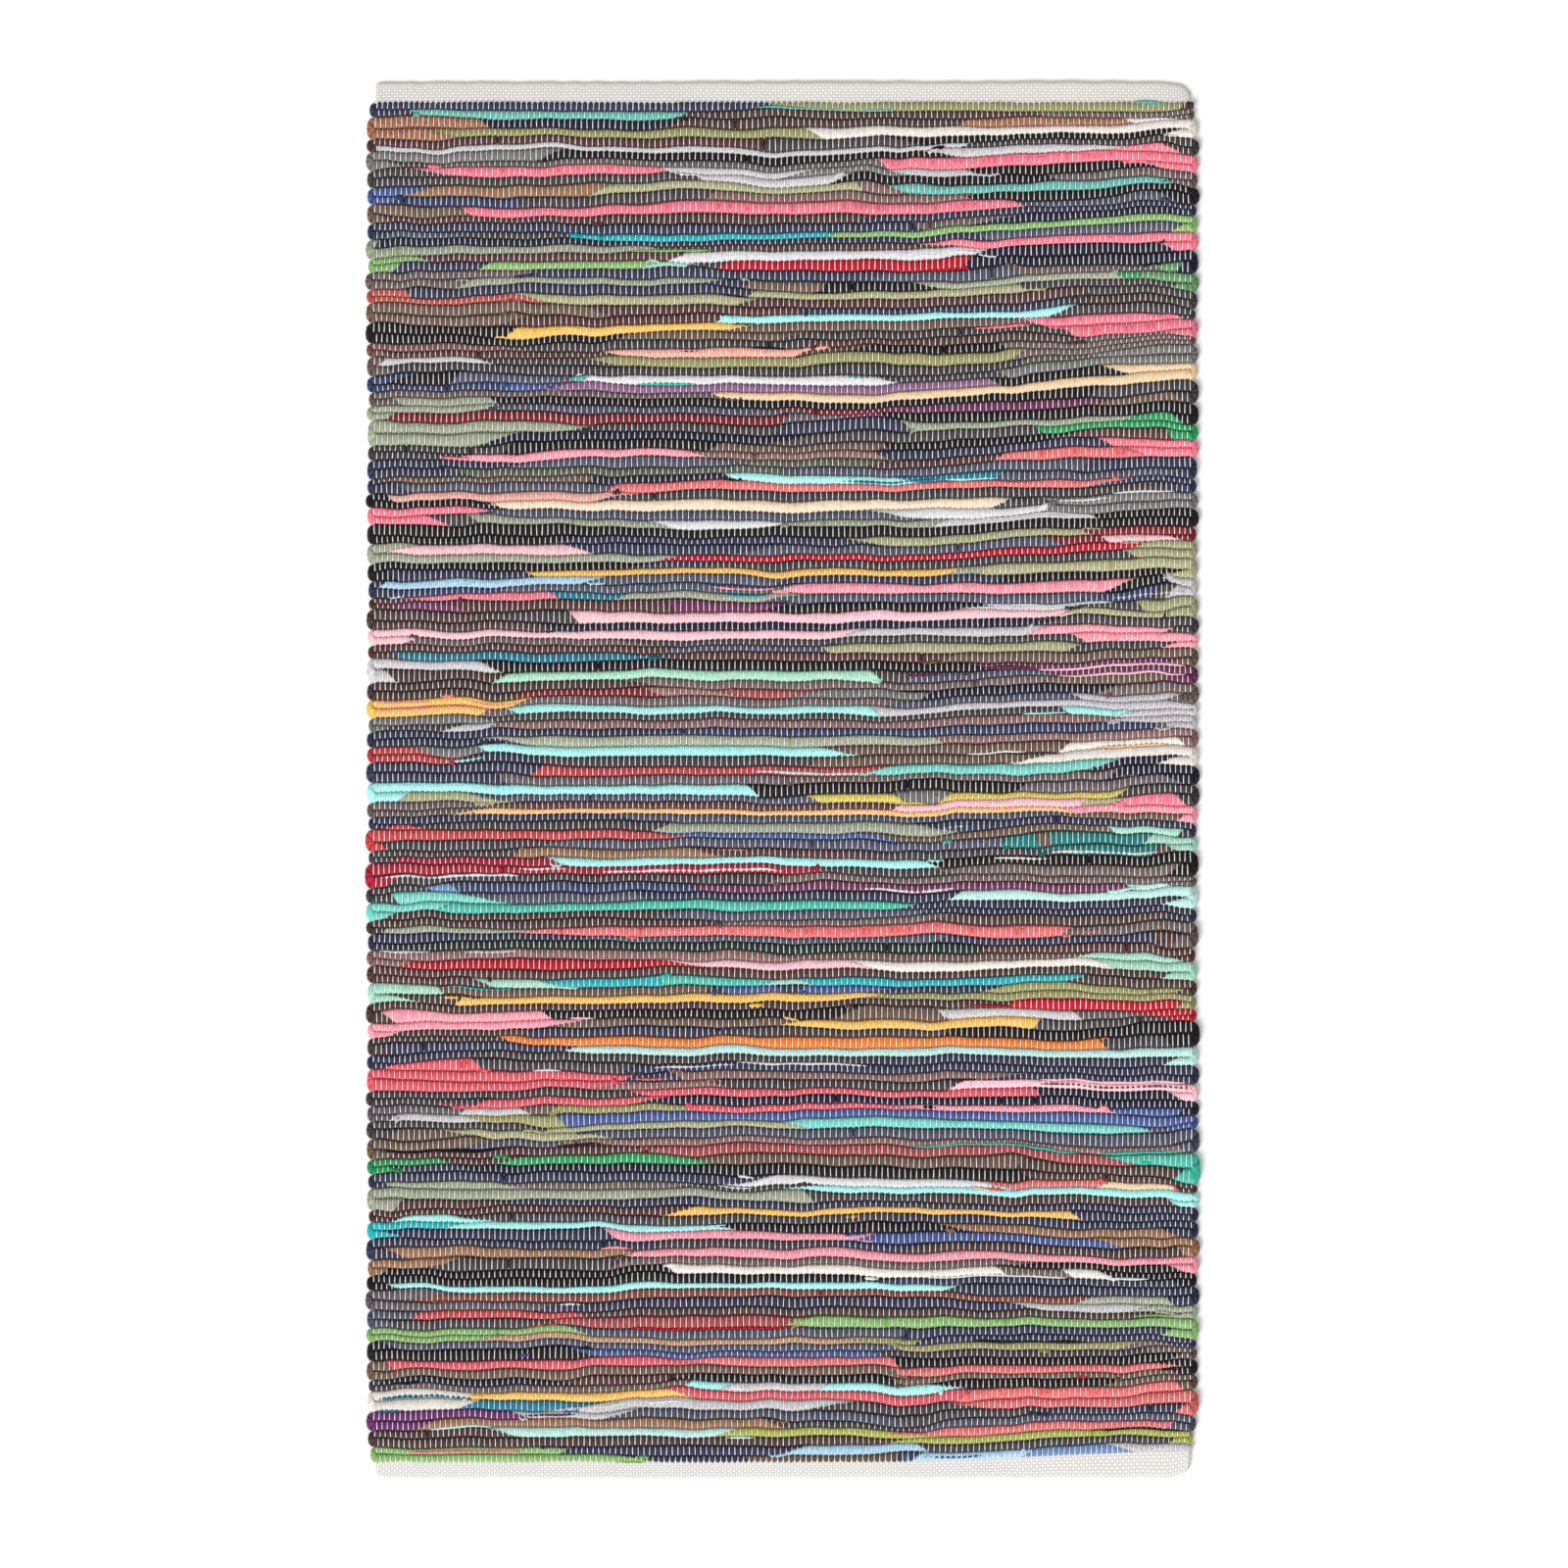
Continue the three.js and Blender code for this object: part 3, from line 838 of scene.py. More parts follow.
def find_tails(rng, weave, own_values, strip):
    """The loose ends of strips that stand out beside their joins, by row."""
    tails = {row: [] for row in range(ROWS)}
    for at in joints_of(strip):
        row, crossed = divmod(int(at), ENDS)
        if rng.uniform() > TAIL_SHARE:
            continue
        onward = 1 if row % 2 else -1
        end = crossed if row % 2 else ENDS - 1 - crossed
        earlier = own_values[max(at - TAIL_CLOTH_FROM, 0)]
        later = own_values[min(at + TAIL_CLOTH_FROM, len(strip) - 1)]
        earlier_is_paler = earlier[:3].sum() > later[:3].sum()
        keeps_on = rng.uniform() < (TAIL_PALE_SHARE if earlier_is_paler else 1 - TAIL_PALE_SHARE)
        direction = onward if keeps_on else -onward
        knotted = rng.uniform() < KNOT_SHARE
        length = int(rng.integers(*(KNOT_ENDS if knotted else TAIL_ENDS)))
        reached = (end - TAIL_START * direction, end + length * direction)
        if min(reached) <= TAIL_CLEARANCE or max(reached) >= ENDS - 1 - TAIL_CLEARANCE:
            continue
        lift = rng.choice([-1, 1])
        thickness = rng.uniform(*(KNOT_HALF_WIDTH if knotted else TAIL_HALF_WIDTH))
        sections = []
        for share, width in TAIL_TAPER:
            place = end + direction * (length * share - TAIL_START)
            column = int(round(place))
            aside = lift * smooth_step(share, *TAIL_TURNS_ASIDE) * weave.half[row, column] * TAIL_ASIDE
            x = np.interp(place, np.arange(ENDS), weave.x[row])
            y = weave.middle[row, column] + aside + TAIL_WANDER[0] * rng.uniform(-1, 1)
            rise = TAIL_LIFT * smooth_step(share, 0, 0.5)
            z = STRIP_CROWN - TAIL_SINK + TAIL_WANDER[1] * rng.uniform(-1, 1) + rise
            radius = thickness * width * rng.uniform(*TAIL_UNEVENNESS, SECTION)
            sections.append((x, y, z, radius))
        tail = make_tail(sections, earlier if keeps_on else later)
        if direction < 0:
            tail = tail._replace(points=tail.points[:, ::-1])
        tails[row].append(tail)
    return tails


def lay_strand(rng, weave, cloth, along, start, stop, half_width, rise):
    """A strand of one cloth that lies on or between the rows, from one place to another along them."""
    row = min(int(along), ROWS - 1)
    first, last = end_at(start), end_at(stop)
    places = np.linspace(first, last, max((last - first) // STRAND_STEP, STRAND_SECTIONS))
    count = len(places)
    column = np.round(places).astype(int)
    far, near = weave.edges[row, column], weave.edges[row + 1, column]
    wander = STRAND_WANDER * smooth_noise(rng, (2, count), (1, max(count // STRAND_BENDS, 2)))
    x = np.interp(places, np.arange(ENDS), weave.x[row])
    y = far + (near - far) * (along - row) + wander[0]
    z = STRIP_CROWN - TAIL_SINK + rise + wander[1]
    from_end = np.clip(np.minimum(places - first, last - places) / STRAND_TAPER, 0, 1)
    swells = smooth_noise(rng, (1, count), (1, max(count // STRAND_SWELLS, 2)))[0]
    taper = STRAND_END_WIDTH + (1 - STRAND_END_WIDTH) * np.sqrt(from_end)
    radius = half_width * taper * (1 + STRAND_UNEVENNESS * swells)
    return row, make_tail(zip(x, y, z, radius), cloth_values(cloth))


def places_in(block):
    """Each place in a list of strands or knobs, with its cloth."""
    for line in block.strip().splitlines():
        cloth, places = line.split(": ")
        for place in places.split(", "):
            yield cloth, [float(number) for number in place.split()]


def add_strands(rng, weave, tails):
    """The strands and knobs, put with the loose ends of their rows."""
    for cloth, (along, start, stop) in places_in(STRANDS):
        half_width = rng.uniform(*STRAND_HALF_WIDTH)
        row, strand = lay_strand(rng, weave, cloth, along, start, stop, half_width, STRAND_RISE)
        tails[row].append(strand)
    for cloth, (along, middle) in places_in(KNOBS):
        half_width = rng.uniform(*KNOB_HALF_WIDTH)
        start, stop = middle - KNOB_REACH, middle + KNOB_REACH
        row, knob = lay_strand(rng, weave, cloth, along, start, stop, half_width, KNOB_RISE)
        tails[row].append(knob)


def make_tails(tails):
    """Points, faces, maps and values of these tails, to go on the end of a band's own."""
    points = []
    faces = []
    first = 0
    bake = []
    place = []
    values = []
    low, high = MAP_TAILS
    for index, tail in enumerate(tails):
        sections = len(tail.points)
        left = index / len(tails)
        wide = MAP_TAIL_WIDTH / len(tails)
        for n in range(sections - 1):
            for k in range(SECTION):
                after = (k + 1) % SECTION
                own = [(n, k), (n, after), (n + 1, after), (n + 1, k)]
                faces.append([first + section * SECTION + point for section, point in own])
                for section, side in ((n, k), (n, k + 1), (n + 1, k + 1), (n + 1, k)):
                    share = (section + 0.5) / (sections + 1)
                    bake.append((left + wide * share, low + (high - low) * side / SECTION))
                    along = index * TAIL_OFFSET + section * TAIL_STEP[0] + 1
                    place.append((along, side * TAIL_STEP[1]))
        faces.append([first + k for k in range(SECTION)][::-1])
        faces.append([first + (sections - 1) * SECTION + k for k in range(SECTION)])
        for across, along in zip(MAP_TAIL_ENDS, TAIL_ENDS_AT):
            size = np.array(MAP_TAIL_END_SIZE) * (wide, 1)
            bake.extend(circle(SECTION) * size + (left + wide * across, (low + high) / 2))
            place.extend(small_pentagon((index * TAIL_OFFSET + along, 0)))
        points.append(tail.points.reshape(-1, 3))
        values.append(np.repeat(tail.values[None], sections * SECTION, 0))
        first += sections * SECTION
    return np.concatenate(points), faces, np.array(bake), np.array(place), np.concatenate(values)


def over_turns(grid, row):
    """A row's values at its warp threads and over its turns, which have those of their first row."""
    turn = len(TURN_ANGLES)
    left = grid[row - row % 2, :1]
    right = grid[max(row - (row + 1) % 2, 0), -1:]
    return np.concatenate([np.repeat(left, turn, 0), grid[row], np.repeat(right, turn, 0)])


def band_maps(count, columns):
    """The baking map and the strip map of this many rows, and of the band's two cut ends."""
    column, row, side = np.meshgrid(
        np.arange(columns - 1), np.arange(count), np.arange(SECTION), indexing="xy"
    )
    column = np.stack([column, column + 1, column + 1, column], -1).reshape(-1)
    side = np.stack([side, side, side + 1, side + 1], -1).reshape(-1)
    row = np.repeat(row.reshape(-1), 4)
    up = (row + MAP_ROW_GAP + (1 - 2 * MAP_ROW_GAP) * side / SECTION) / count * MAP_ROWS_SHARE
    bake = np.stack([column / (columns - 1), up], -1)
    crossed = column - len(TURN_ANGLES) + row % 2
    place = np.stack([crossed + ROW_OFFSET * row, ROUND[side]], -1)
    cuts = [small_pentagon((across, MAP_CUTS)) for across in MAP_CUTS_ACROSS]
    return np.concatenate([bake, *cuts]), np.concatenate([place, *cuts])


def weave_band(name, rows, weave, looks, tails, material):
    """One length of the rag field: these rows' strips as one closed piece that goes back and forth."""
    columns = ENDS + 2 * len(TURN_ANGLES)
    points = []
    values = []
    for row in rows:
        straight_x = np.repeat(weave.x[row][:, None], SECTION, 1)
        straight_y = weave.middle[row][:, None] + weave.across[row]
        straight = np.stack([straight_x, straight_y, weave.height[row]], -1)
        turns = half_turn(weave, row, -1), half_turn(weave, row, 1)[::-1]
        points.append(np.concatenate([turns[0], straight, turns[1]]))
        joint = over_turns(looks.share, row)[:, None] + over_turns(looks.slant, row)[:, None] * SIDE_ON
        own = np.repeat(over_turns(looks.own, row)[:, None], SECTION, 1)
        joined = np.repeat(over_turns(looks.joined, row)[:, None], SECTION, 1)
        values.append(np.concatenate([own, joined, joint[..., None]], -1))
    count = len(rows)
    at = np.arange(count * columns * SECTION).reshape(count, columns, SECTION)
    at[1::2, 0] = at[::2, 0][:, MIRRORED]
    at[2::2, -1] = at[1:-1:2, -1][:, MIRRORED]
    after = np.roll(at, -1, 2)
    faces = np.stack([at[:, :-1], at[:, 1:], after[:, 1:], after[:, :-1]], -1).reshape(-1, 4)
    caps = [at[0, -1][::-1], at[-1, -1][::-1]]
    used, corners = np.unique(np.concatenate([faces.ravel(), *caps]), return_inverse=True)
    face_list = corners[: faces.size].reshape(-1, 4).tolist()
    face_list += corners[faces.size :].reshape(-1, SECTION).tolist()
    tail_points, tail_faces, tail_bake, tail_place, tail_values = make_tails(tails)
    face_list += [[len(used) + p for p in face] for face in tail_faces]
    all_points = np.concatenate([np.array(points).reshape(-1, 3)[used], tail_points])
    obj = make_mesh(name, all_points, face_list, material)

    bake, place = band_maps(count, columns)
    add_map(obj, "OFBake", np.concatenate([bake, tail_bake]))
    add_map(obj, "strip", np.concatenate([place, tail_place]))
    values = np.concatenate([np.array(values).reshape(-1, 9)[used], tail_values])
    add_values(obj, "cloth", "FLOAT_COLOR", values[:, :4])
    add_values(obj, "joined_cloth", "FLOAT_COLOR", values[:, 4:8])
    add_values(obj, "joint", "FLOAT", values[:, 8])
    return obj


# The warp

OVER_FACES = (
    (0, 2, 1), (0, 3, 2), (0, 1, 3),
    (1, 2, 5, 4), (2, 3, 6, 5), (3, 1, 4, 6),
    (7, 4, 5), (7, 5, 6), (7, 6, 4),
)
UNDER_FACES = ((0, 1, 2), (0, 2, 3), (0, 3, 1), (4, 2, 1), (4, 3, 2), (4, 1, 3))
MAP_THREAD_GAP = 0.05  # round each thread in its own small square of the baking map


def crossings(rows, over):
    """Each place where a warp thread crosses over, or under, one of these rows."""
    row, end = np.meshgrid(rows, np.arange(ENDS), indexing="ij")
    tied = (row + end) % 2 == (0 if over else 1)
    return row[tied], end[tied]


def at_crossings(weave, row, end):
    """For these crossings: X, the middle line of the row, and half its width."""
    far, near = weave.edges[row, end], weave.edges[row + 1, end]
    return weave.x[row, end], (far + near) / 2, (far - near) / 2


def over_threads(rng, weave, looks, rows):
    row, end = crossings(rows, True)
    share = looks.share[row, end][:, None]
    colour = looks.own[row, end][:, :3] * (1 - share) + looks.joined[row, end][:, :3] * share
    paleness = smooth_step(colour.max(1) + colour.min(1), *PALE_STRIPS)
    count = len(row)
    x, middle, reach = at_crossings(weave, row, end)
    lean = THREAD_LEAN * rng.uniform(-1, 1, count)
    radius = THREAD_RADIUS * rng.uniform(*THREAD_RADII, count)
    crest = weave.top[row, end] + THREAD_STANDS + THREAD_UNEVENNESS * rng.uniform(-1, 1, count)
    crest -= THREAD_SINKS * smooth_step(weave.half[row, end] / EVEN_HALF, *FULL_STRIPS)
    crest -= paleness * rng.uniform(*THREAD_SINKS_PALE, count)
    crest -= THREAD_HIDING * (rng.uniform(size=count) < THREAD_HIDDEN)
    dive = STRIP_SIDE + THREAD_DIVE + THREAD_UNEVENNESS * rng.uniform(-1, 1, count)
    shoulder = reach * THREAD_SHOULDER
    tip = reach - THREAD_TIP_GAP
    low = crest - radius * THREAD_FLATNESS
    places = [
        (x - lean, middle - tip, dive),
        (x - lean / 2 - radius, middle - shoulder, low),
        (x - lean / 2, middle - shoulder, crest),
        (x - lean / 2 + radius, middle - shoulder, low),
        (x + lean / 2 - radius, middle + shoulder, low),
        (x + lean / 2, middle + shoulder, crest),
        (x + lean / 2 + radius, middle + shoulder, low),
        (x + lean, middle + tip, dive),
    ]
    return np.stack([np.stack(place, -1) for place in places], 1), OVER_FACES


def under_threads(rng, weave, rows):
    row, end = crossings(rows, False)
    count = len(row)
    x, middle, reach = at_crossings(weave, row, end)
    radius = THREAD_RADIUS * rng.uniform(*THREAD_RADII, count)
    crest = np.full(count, THREAD_UNDER_GAP)
    dive = np.full(count, STRIP_SIDE - THREAD_UNDER_DIVE)
    places = [
        (x, middle - reach, dive),
        (x - radius, middle, crest + radius),
        (x, middle, crest),
        (x + radius, middle, crest + radius),
        (x, middle + reach, dive),
    ]
    return np.stack([np.stack(place, -1) for place in places], 1), UNDER_FACES


def thread_map(faces, points_each):
    """Where each corner of a thread's faces lies in its own small square of the baking map."""
    last = points_each - 1
    rings = 2 if points_each == 8 else 1
    corners = []
    for face in faces:
        sides = {(p - 1) % 3 for p in face if 0 < p < last}
        wraps = sides == {0, 2}
        for p in face:
            if p in (0, last):
                across = 2.5 if wraps else min(sides) + 0.5
                along = 0 if p == 0 else rings + 1
            else:
                side = (p - 1) % 3
                across = 3 if wraps and side == 0 else side
                along = 1 + (p - 1) // 3
            corners.append((across / 3, along / (rings + 1)))
    return np.array(corners)


def weave_warp(name, rng, weave, looks, rows, material):
    """The warp threads where they show on these rows, on the rug's top and on its underside."""
    groups = [over_threads(rng, weave, looks, rows), under_threads(rng, weave, rows)]
    total = sum(len(points) for points, _ in groups)
    per_side = math.ceil(math.sqrt(total))
    all_points = []
    face_list = []
    maps = []
    first = 0
    cell = 0
    for points, faces in groups:
        count, each = points.shape[:2]
        base = first + np.arange(count) * each
        for start in base.tolist():
            face_list.extend([tuple(start + p for p in face) for face in faces])
        own = thread_map(faces, each) * (1 - 2 * MAP_THREAD_GAP) + MAP_THREAD_GAP
        index = cell + np.arange(count)
        corner = np.stack([index % per_side, index // per_side], -1)
        maps.append(((corner[:, None] + own) / per_side).reshape(-1, 2))
        all_points.append(points.reshape(-1, 3))
        first += count * each
        cell += count
    obj = make_mesh(name, np.concatenate(all_points), face_list, material)
    add_map(obj, "OFBake", np.concatenate(maps))
    return obj


# The headings

CLOTH_SHARE = 0.42  # one layer's share of a heading's thickness
TOP, FOLD, UNDER, INSIDE, INSIDE_TOP = range(5)
# Its fold, from the top round to the underside. Columns: share of the way out, share of its thickness,
# and which side faces there.
FOLD_PROFILE = (
    (0.875, 0.95, TOP), (0.95, 0.84, TOP), (0.99, 0.6, FOLD), (1.0, 0.35, FOLD), (0.97, 0.1, FOLD),
)
INSIDE_STEPS = (0, 2, 4, 7)  # the rows of cotton at which its two inner sides have points
FLOOR_GAP = 0.0001  # between its underside and the floor
HEADING_MAP_MARGIN = 0.01  # at its left, right and lower edge
HEADING_MAP_HEIGHT = 0.9  # of the baking map, for its cloth
HEADING_MAP_CUTS = ((0.1, 0.96), (0.3, 0.96))  # the middles of its two cut ends
HEADING_CUT_RADIUS = 0.02


def heading_profile(thickness):
    """A heading's section. Columns: share of the way out, height, which side faces there."""
    cloth = thickness * CLOTH_SHARE
    bend = CANVAS_ROWS - 1
    profile = [(n / CANVAS_ROWS, thickness, TOP) for n in range(bend)]
    profile += [(out, thickness * height, facing) for out, height, facing in FOLD_PROFILE]
    profile += [(n / CANVAS_ROWS, FLOOR_GAP, UNDER) for n in range(bend, -1, -2)]
    profile += [(n / CANVAS_ROWS, cloth, INSIDE) for n in INSIDE_STEPS]
    profile += [(n / CANVAS_ROWS, thickness - cloth, INSIDE_TOP) for n in INSIDE_STEPS[::-1]]
    return profile


def weave_heading(name, rng, weave, far, material):
    """A heading: cotton cloth running out from the rag field and folded back under itself."""
    low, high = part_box(name)
    outward = 1 if far else -1
    thickness = high.z - low.z
    side = (high.x - low.x) / 2
    column = np.linspace(-1, 1, ENDS)
    x = (high.x + low.x) / 2 + side * column
    share = (x - FIELD_LOW.x) / FIELD_WIDTH
    field_end = np.interp(share, np.linspace(0, 1, ENDS), weave.edges[0 if far else -1])
    inner = field_end - outward * HEADING_TUCK
    left, right = FAR_CORNERS if far else NEAR_CORNERS
    size = np.where(column < 0, left, right)
    corner = np.clip((np.abs(column) * side - side + size) / size, 0, 1)
    ragged = end_waves(rng, *FOLD_UNEVENNESS)
    drawn = size * CORNER_DEPTH * corner**2 + FOLD_UNEVENNESS[0]
    pull, pull_from = FAR_CORNER_PULL if far else NEAR_CORNER_PULL
    drawn += pull * smooth_step(share, pull_from)
    fold = (high.y if far else low.y) - outward * drawn + ragged
    profile = heading_profile(thickness)
    rise = end_waves(rng, *HEADING_BULGE, rows=2)
    lift = FOLD_LIFT[0] + end_waves(rng, *FOLD_LIFT)
    alternate = np.where(np.arange(ENDS) % 2 == 0, 1, -1)
    points = []
    for index, (out, height, facing) in enumerate(profile):
        y = inner + (fold - inner) * out
        relief = CANVAS_RELIEF * alternate * (1 if index % 2 else -1)
        z = height + relief * (facing == TOP) + lift * out**2
        z += (rise + HEADING_SLOPE) * (facing in (TOP, INSIDE_TOP)) * (1 - out)
        points.append(np.stack([x, y, z], -1))
    count = len(profile)
    at = np.arange(count * ENDS).reshape(count, ENDS)
    after = np.roll(at, -1, 0)
    faces = np.stack([at[:, :-1], after[:, :-1], after[:, 1:], at[:, 1:]], -1).reshape(-1, 4)
    around = np.repeat(np.arange(count), ENDS - 1)
    map_around = np.stack([around, around + 1, around + 1, around], -1)
    map_along = faces % ENDS
    caps = [at[::-1, 0], at[:, -1]]
    if far:
        faces, map_around, map_along = faces[:, ::-1], map_around[:, ::-1], map_along[:, ::-1]
        caps = [cap[::-1] for cap in caps]
    face_list = faces.tolist() + [cap.tolist() for cap in caps]
    obj = make_mesh(name + "_cloth", np.concatenate(points), face_list, material)
    across = (1 - 2 * HEADING_MAP_MARGIN) * map_along / (ENDS - 1)
    bake = np.stack([across, HEADING_MAP_HEIGHT * map_around / count], -1) + HEADING_MAP_MARGIN
    cut = circle(count) * HEADING_CUT_RADIUS
    cuts = [cut + place for place in HEADING_MAP_CUTS]
    add_map(obj, "OFBake", np.concatenate([bake.reshape(-1, 2), *cuts]))
    weave_map = np.stack([map_along, map_around], -1).reshape(-1, 2)
    add_map(obj, "weave", np.concatenate([weave_map, cut, cut]))
    return obj


# Materials

# Noise in the cloth. Columns: grains to a step of its map, detail, and how it is squeezed along each way.
FRAYS = (1.3, 3)
BLOTCHES = (0.8, 4, (1, 1.6, 1))
FOLDS = (0.8, 2, (0.3, 1, 1))
STREAKS = (2.2, 3, (0.2, 1, 1))
GRAINS = (5.0, 2, (0.7, 1, 1))
FIBRES = (5.0, 2)
FIBRE_HEIGHTS = (0.25, 0.3)  # how high fibres stand in the rag's bumps and in the canvas's
PRESSED_HEIGHT = 0.6  # how deep the rag's hollows are in them, at the warp and along joins
CANVAS_YARNS = (1.1, 3)
CANVAS_SPECKS = (2.6, 1)
PLIES = (1400, 2, (1, 0.6, 1))  # to the metre
SPECK_LEVEL = 0.74  # the noise above which there is a speck
SPECK_SHADE = 0.2  # how much darker it is
JOINT_SHADOW = 0.12  # how far from a strip's edge the line beside it reaches
DARK_TO_PALE = (0.02, 0.5)  # the grey values of a dark and of a pale cloth
# The painted shade of a gap in the cotton begins and is darkest where the distances from its threads both
# ways, multiplied, are these.
CANVAS_GAP_REACH = (0.05, 0.2)
TIE_REACH = (0.15, 0.8)  # between these distances from a warp thread, in spacings, the painted shade and the hollow beside it fade out as the cloth rises free


def set_inputs(tree, node, inputs):
    """Each of these inputs linked to a socket, or set to a plain value."""
    for name, value in inputs.items():
        if isinstance(value, bpy.types.NodeSocket):
            tree.links.new(value, node.inputs[name])
        else:
            node.inputs[name].default_value = value


def add_node(tree, kind, inputs=None, **settings):
    node = tree.nodes.new(kind)
    for name, value in settings.items():
        setattr(node, name, value)
    set_inputs(tree, node, inputs or {})
    return node


def new_material(name):
    material = bpy.data.materials.new(name)
    material.use_nodes = True
    tree = material.node_tree
    shader = tree.nodes["Principled BSDF"]
    set_inputs(tree, shader, {"IOR": 1.4, "Specular IOR Level": 0.25})
    return material, tree, shader


def math_node(tree, operation, *values):
    """The values put together by this operation, from the first to the last."""
    result = values[0]
    for value in values[1:] or [0.5]:
        node = add_node(tree, "ShaderNodeMath", {0: result, 1: value}, operation=operation)
        result = node.outputs[0]
    return result


def noise(tree, place, scale, detail, stretch=(1, 1, 1)):
    """Noise of about this many grains to each step of the place, from 0 to 1."""
    mapping = add_node(tree, "ShaderNodeMapping", {"Vector": place, "Scale": stretch})
    inputs = {"Vector": mapping.outputs[0], "Scale": scale, "Detail": detail}
    return add_node(tree, "ShaderNodeTexNoise", inputs).outputs["Fac"]


def mix(tree, kind, factor, first, second):
    """A Mix node's result, for colours or for plain numbers."""
    ports, result = {"FLOAT": ((0, 2, 3), 0), "RGBA": ((0, 6, 7), 2)}[kind]
    inputs = dict(zip(ports, (factor, first, second)))
    return add_node(tree, "ShaderNodeMix", inputs, data_type=kind).outputs[result]


def ramp(tree, value, low, high, from_min=0.0, from_max=1.0, smooth=False):
    """A value spread over a new range."""
    inputs = {"Value": value, "From Min": from_min, "From Max": from_max, "To Min": low, "To Max": high}
    kind = "SMOOTHSTEP" if smooth else "LINEAR"
    return add_node(tree, "ShaderNodeMapRange", inputs, interpolation_type=kind).outputs[0]


def scaled_colour(tree, colour, shade):
    inputs = {0: colour, "Scale": shade}
    return add_node(tree, "ShaderNodeVectorMath", inputs, operation="SCALE").outputs[0]


def bump(tree, height, strength, distance):
    inputs = {"Height": height, "Strength": strength, "Distance": distance}
    return add_node(tree, "ShaderNodeBump", inputs).outputs[0]


def rag_material():
    """Old cloth of many kinds. The strip map counts warp threads: the tied ones are its even numbers."""
    material, tree, shader = new_material("rag_cloth")
    place = add_node(tree, "ShaderNodeUVMap", uv_map="strip").outputs[0]
    cloth = add_node(tree, "ShaderNodeAttribute", attribute_name="cloth").outputs
    joined = add_node(tree, "ShaderNodeAttribute", attribute_name="joined_cloth").outputs
    joint = add_node(tree, "ShaderNodeAttribute", attribute_name="joint").outputs["Fac"]

    frayed = ramp(tree, noise(tree, place, *FRAYS), -JOINT_FRAY, JOINT_FRAY)
    overlap = math_node(tree, "ADD", joint, frayed)
    over = math_node(tree, "GREATER_THAN", overlap, 0.5)
    from_edge = math_node(tree, "ABSOLUTE", math_node(tree, "SUBTRACT", overlap, 0.5))
    # painted shadow in the groove along a join, also a hollow in the bumps
    joint_shade_and_groove = ramp(tree, from_edge, JOINT_PAINTED_SHADOW, 1.0, 0.0, JOINT_SHADOW)
    colour = mix(tree, "RGBA", over, cloth["Color"], joined["Color"])
    heather = mix(tree, "FLOAT", over, cloth["Alpha"], joined["Alpha"])

    along = add_node(tree, "ShaderNodeSeparateXYZ", {0: place}).outputs[0]
    from_tie = math_node(tree, "PINGPONG", along, 1.0)
    # painted shade in the hollow beside each tied warp thread, lighter on pale cloth; also a hollow in
    # the bumps
    paleness = add_node(tree, "ShaderNodeRGBToBW", {0: colour}).outputs[0]
    tie_painted_shade = ramp(tree, paleness, TIE_SHADE_DARK, TIE_SHADE_PALE, *DARK_TO_PALE)
    out_of_tie_shade = ramp(tree, from_tie, 0.0, 1.0, *TIE_REACH, smooth=True)
    tie_shade_and_hollow = mix(tree, "FLOAT", out_of_tie_shade, tie_painted_shade, 1.0)
    blotches = ramp(tree, noise(tree, place, *BLOTCHES), -MOTTLING, MOTTLING)
    mottled = math_node(tree, "MULTIPLY", blotches, heather)
    folds = noise(tree, place, *FOLDS)
    streaks = ramp(tree, noise(tree, place, *STREAKS), -STREAKING, STREAKING)
    grain = ramp(tree, noise(tree, place, *GRAINS), 1 - GRAIN, 1 + GRAIN)
    # the streaks are partly painted shade in the cloth's creases
    tone_and_crease_shade = math_node(tree, "ADD", mottled, streaks, grain)
    shade = math_node(tree, "MULTIPLY", tone_and_crease_shade, tie_shade_and_hollow, joint_shade_and_groove)

    fine = math_node(tree, "MULTIPLY", noise(tree, place, *FIBRES), FIBRE_HEIGHTS[0])
    folded = math_node(tree, "MULTIPLY", math_node(tree, "ADD", tie_shade_and_hollow, joint_shade_and_groove), PRESSED_HEIGHT)
    height = math_node(tree, "ADD", fine, folds, folded)
    set_inputs(tree, shader, {
        "Base Color": scaled_colour(tree, colour, shade),
        "Roughness": ramp(tree, folds, 0.8, 1.0),
        "Normal": bump(tree, height, 0.8, 0.0012),
        "Specular IOR Level": 0.12,
        "Sheen Weight": 0.06,
        "Sheen Roughness": 0.6,
    })
    return material


def yarn_material():
    material, tree, shader = new_material("warp_cotton")
    place = add_node(tree, "ShaderNodeTexCoord").outputs["Object"]
    plies = noise(tree, place, *PLIES)
    set_inputs(tree, shader, {
        "Base Color": (*map(linear, YARN_COLOUR), 1),
        "Roughness": ramp(tree, plies, 0.75, 1.0),
        "Normal": bump(tree, plies, 0.5, 0.0003),
    })
    return material


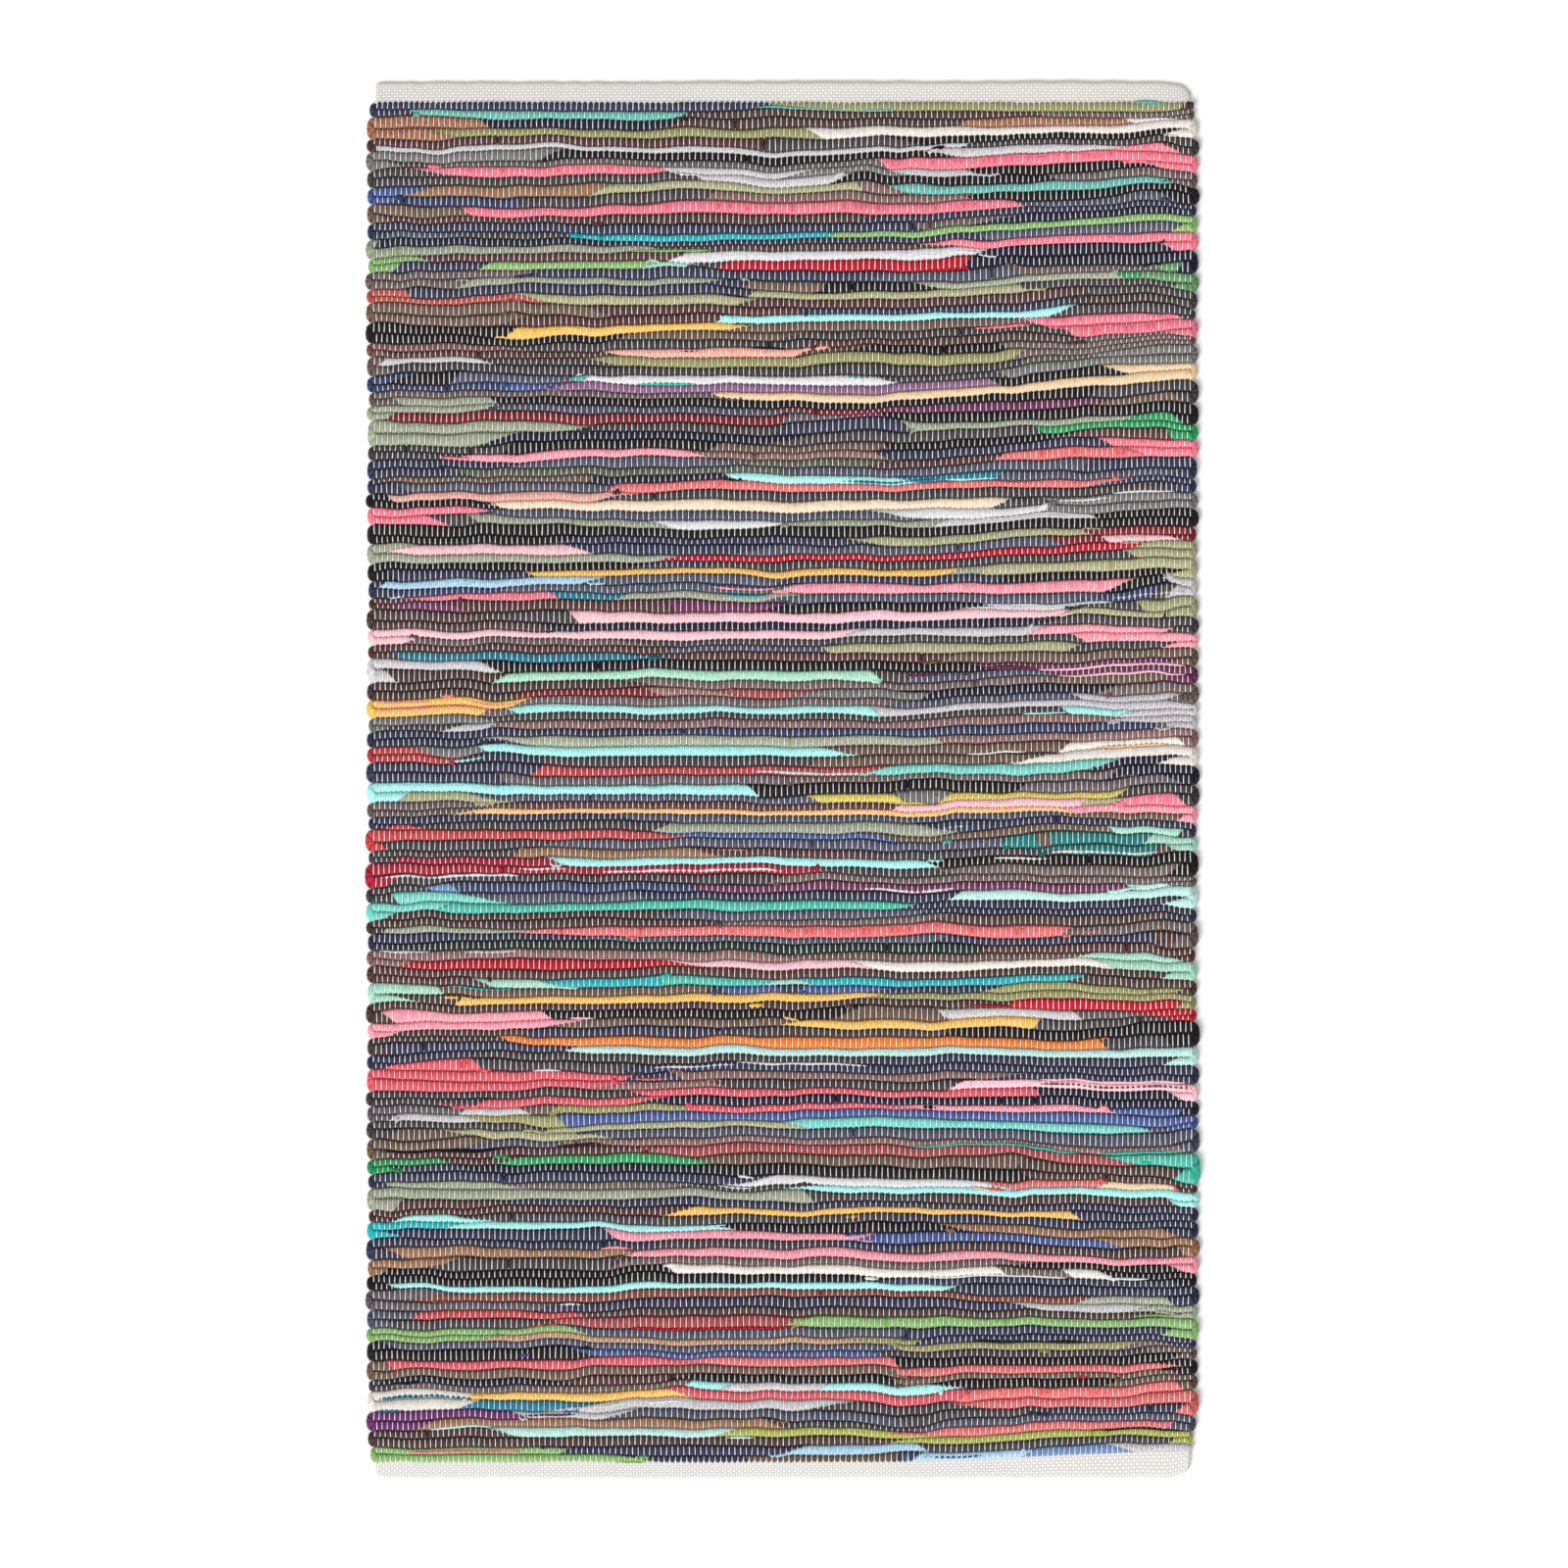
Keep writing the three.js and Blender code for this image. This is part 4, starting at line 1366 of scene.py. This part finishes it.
def canvas_material():
    """Plain-woven cotton. The weave map counts its threads both ways."""
    material, tree, shader = new_material("heading_cotton")
    place = add_node(tree, "ShaderNodeUVMap", uv_map="weave").outputs[0]
    count = add_node(tree, "ShaderNodeSeparateXYZ", {0: place}).outputs
    ways = [math_node(tree, "PINGPONG", way, 0.5) for way in count[:2]]
    crossing = math_node(tree, "MULTIPLY", *ways)
    # painted shade in the gaps between the threads, also hollows in the bumps
    gap_shade_and_depth = ramp(tree, crossing, 1.0, CANVAS_GAP_SHADE, *CANVAS_GAP_REACH, smooth=True)
    waves = [math_node(tree, "COSINE", math_node(tree, "MULTIPLY", way, math.pi)) for way in count[:2]]
    lattice = math_node(tree, "MULTIPLY", *waves)
    yarns = ramp(tree, noise(tree, place, *CANVAS_YARNS), 0.90, 1.10)
    speck = math_node(tree, "GREATER_THAN", noise(tree, place, *CANVAS_SPECKS), SPECK_LEVEL)
    # painted shade where a thread goes under another
    under = ramp(tree, lattice, CANVAS_UNDER_SHADE, 1.0, -1.0, 1.0)
    shade = math_node(tree, "MULTIPLY", gap_shade_and_depth, yarns, under)
    shade = math_node(tree, "SUBTRACT", shade, math_node(tree, "MULTIPLY", speck, SPECK_SHADE))
    colour = tuple(map(linear, CANVAS_COLOUR))
    fine = math_node(tree, "MULTIPLY", noise(tree, place, *FIBRES), FIBRE_HEIGHTS[1])
    height = math_node(tree, "ADD", fine, gap_shade_and_depth)
    set_inputs(tree, shader, {
        "Base Color": scaled_colour(tree, colour, shade),
        "Roughness": ramp(tree, yarns, 0.8, 1.0, 0.86, 1.08),
        "Normal": bump(tree, height, 0.7, 0.0006),
    })
    return material


# The stage


def set_stage():
    bpy.ops.mesh.primitive_plane_add(size=FLOOR_SIDE)
    floor = bpy.context.object
    floor.name = "floor"
    material, tree, shader = new_material("floor_white")
    white = (FLOOR_SHADE, FLOOR_SHADE, FLOOR_SHADE, 1)
    set_inputs(tree, shader, {"Base Color": white, "Roughness": 1, "Specular IOR Level": 0})
    floor.data.materials.append(material)

    world = bpy.data.worlds.new("studio")
    world.use_nodes = True
    sky = world.node_tree.nodes["Background"]
    set_inputs(world.node_tree, sky, {"Color": (1, 1, 1, 1), "Strength": SKY_STRENGTH})
    bpy.context.scene.world = world

    sun = bpy.data.lights.new("soft_light", "SUN")
    sun.energy = LIGHT_STRENGTH
    sun.angle = math.radians(LIGHT_WIDTH)
    lamp = add_object("soft_light", sun)
    lamp.rotation_euler = Vector(LIGHT_FROM).to_track_quat("Z", "Y").to_euler()

    lens = bpy.data.cameras.new("camera")
    camera = add_object("camera", lens)
    half_view = PHOTO_SIDE / 2 * METRES_PER_PIXEL
    lens.lens = lens.sensor_width / 2 / (half_view / CAMERA_HEIGHT)
    aside = (PHOTO_SIDE / 2 - PHOTO_MIDDLE[0]) * METRES_PER_PIXEL
    ahead = (PHOTO_MIDDLE[1] - PHOTO_SIDE / 2) * METRES_PER_PIXEL
    camera.location = (aside, ahead, CAMERA_HEIGHT)
    bpy.context.scene.camera = camera
    bpy.context.scene.view_settings.view_transform = "Standard"


def set_down(piece, node=None):
    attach(piece, "root")
    if node:
        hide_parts(node)


def make_rug():
    rng = np.random.default_rng(SEED)
    names, strip = lay_strips(rng)
    own, joined, share, slant = strip_looks(rng, names, strip)
    thickness = by_row(strip_thickness(rng, names, strip))
    weave = set_weave(rng, thickness)
    looks = Looks(by_row(own), by_row(joined), by_row(share), by_row(slant))
    tails = find_tails(rng, weave, own, strip)
    add_strands(rng, weave, tails)
    rag, yarn, canvas = rag_material(), yarn_material(), canvas_material()
    band_rows = ROWS // BANDS
    for band in range(BANDS):
        rows = np.arange(band * band_rows, (band + 1) * band_rows)
        band_tails = [tail for row in rows for tail in tails[int(row)]]
        cloth = weave_band(f"rag_band_{band + 1}", rows, weave, looks, band_tails, rag)
        threads = weave_warp(f"warp_band_{band + 1}", rng, weave, looks, rows, yarn)
        set_down(cloth, "rag_field")
        set_down(threads)
    for node, far in (("heading_far", True), ("heading_near", False)):
        cloth = weave_heading(node, rng, weave, far, canvas)
        set_down(cloth, node)


set_stage()
make_rug()
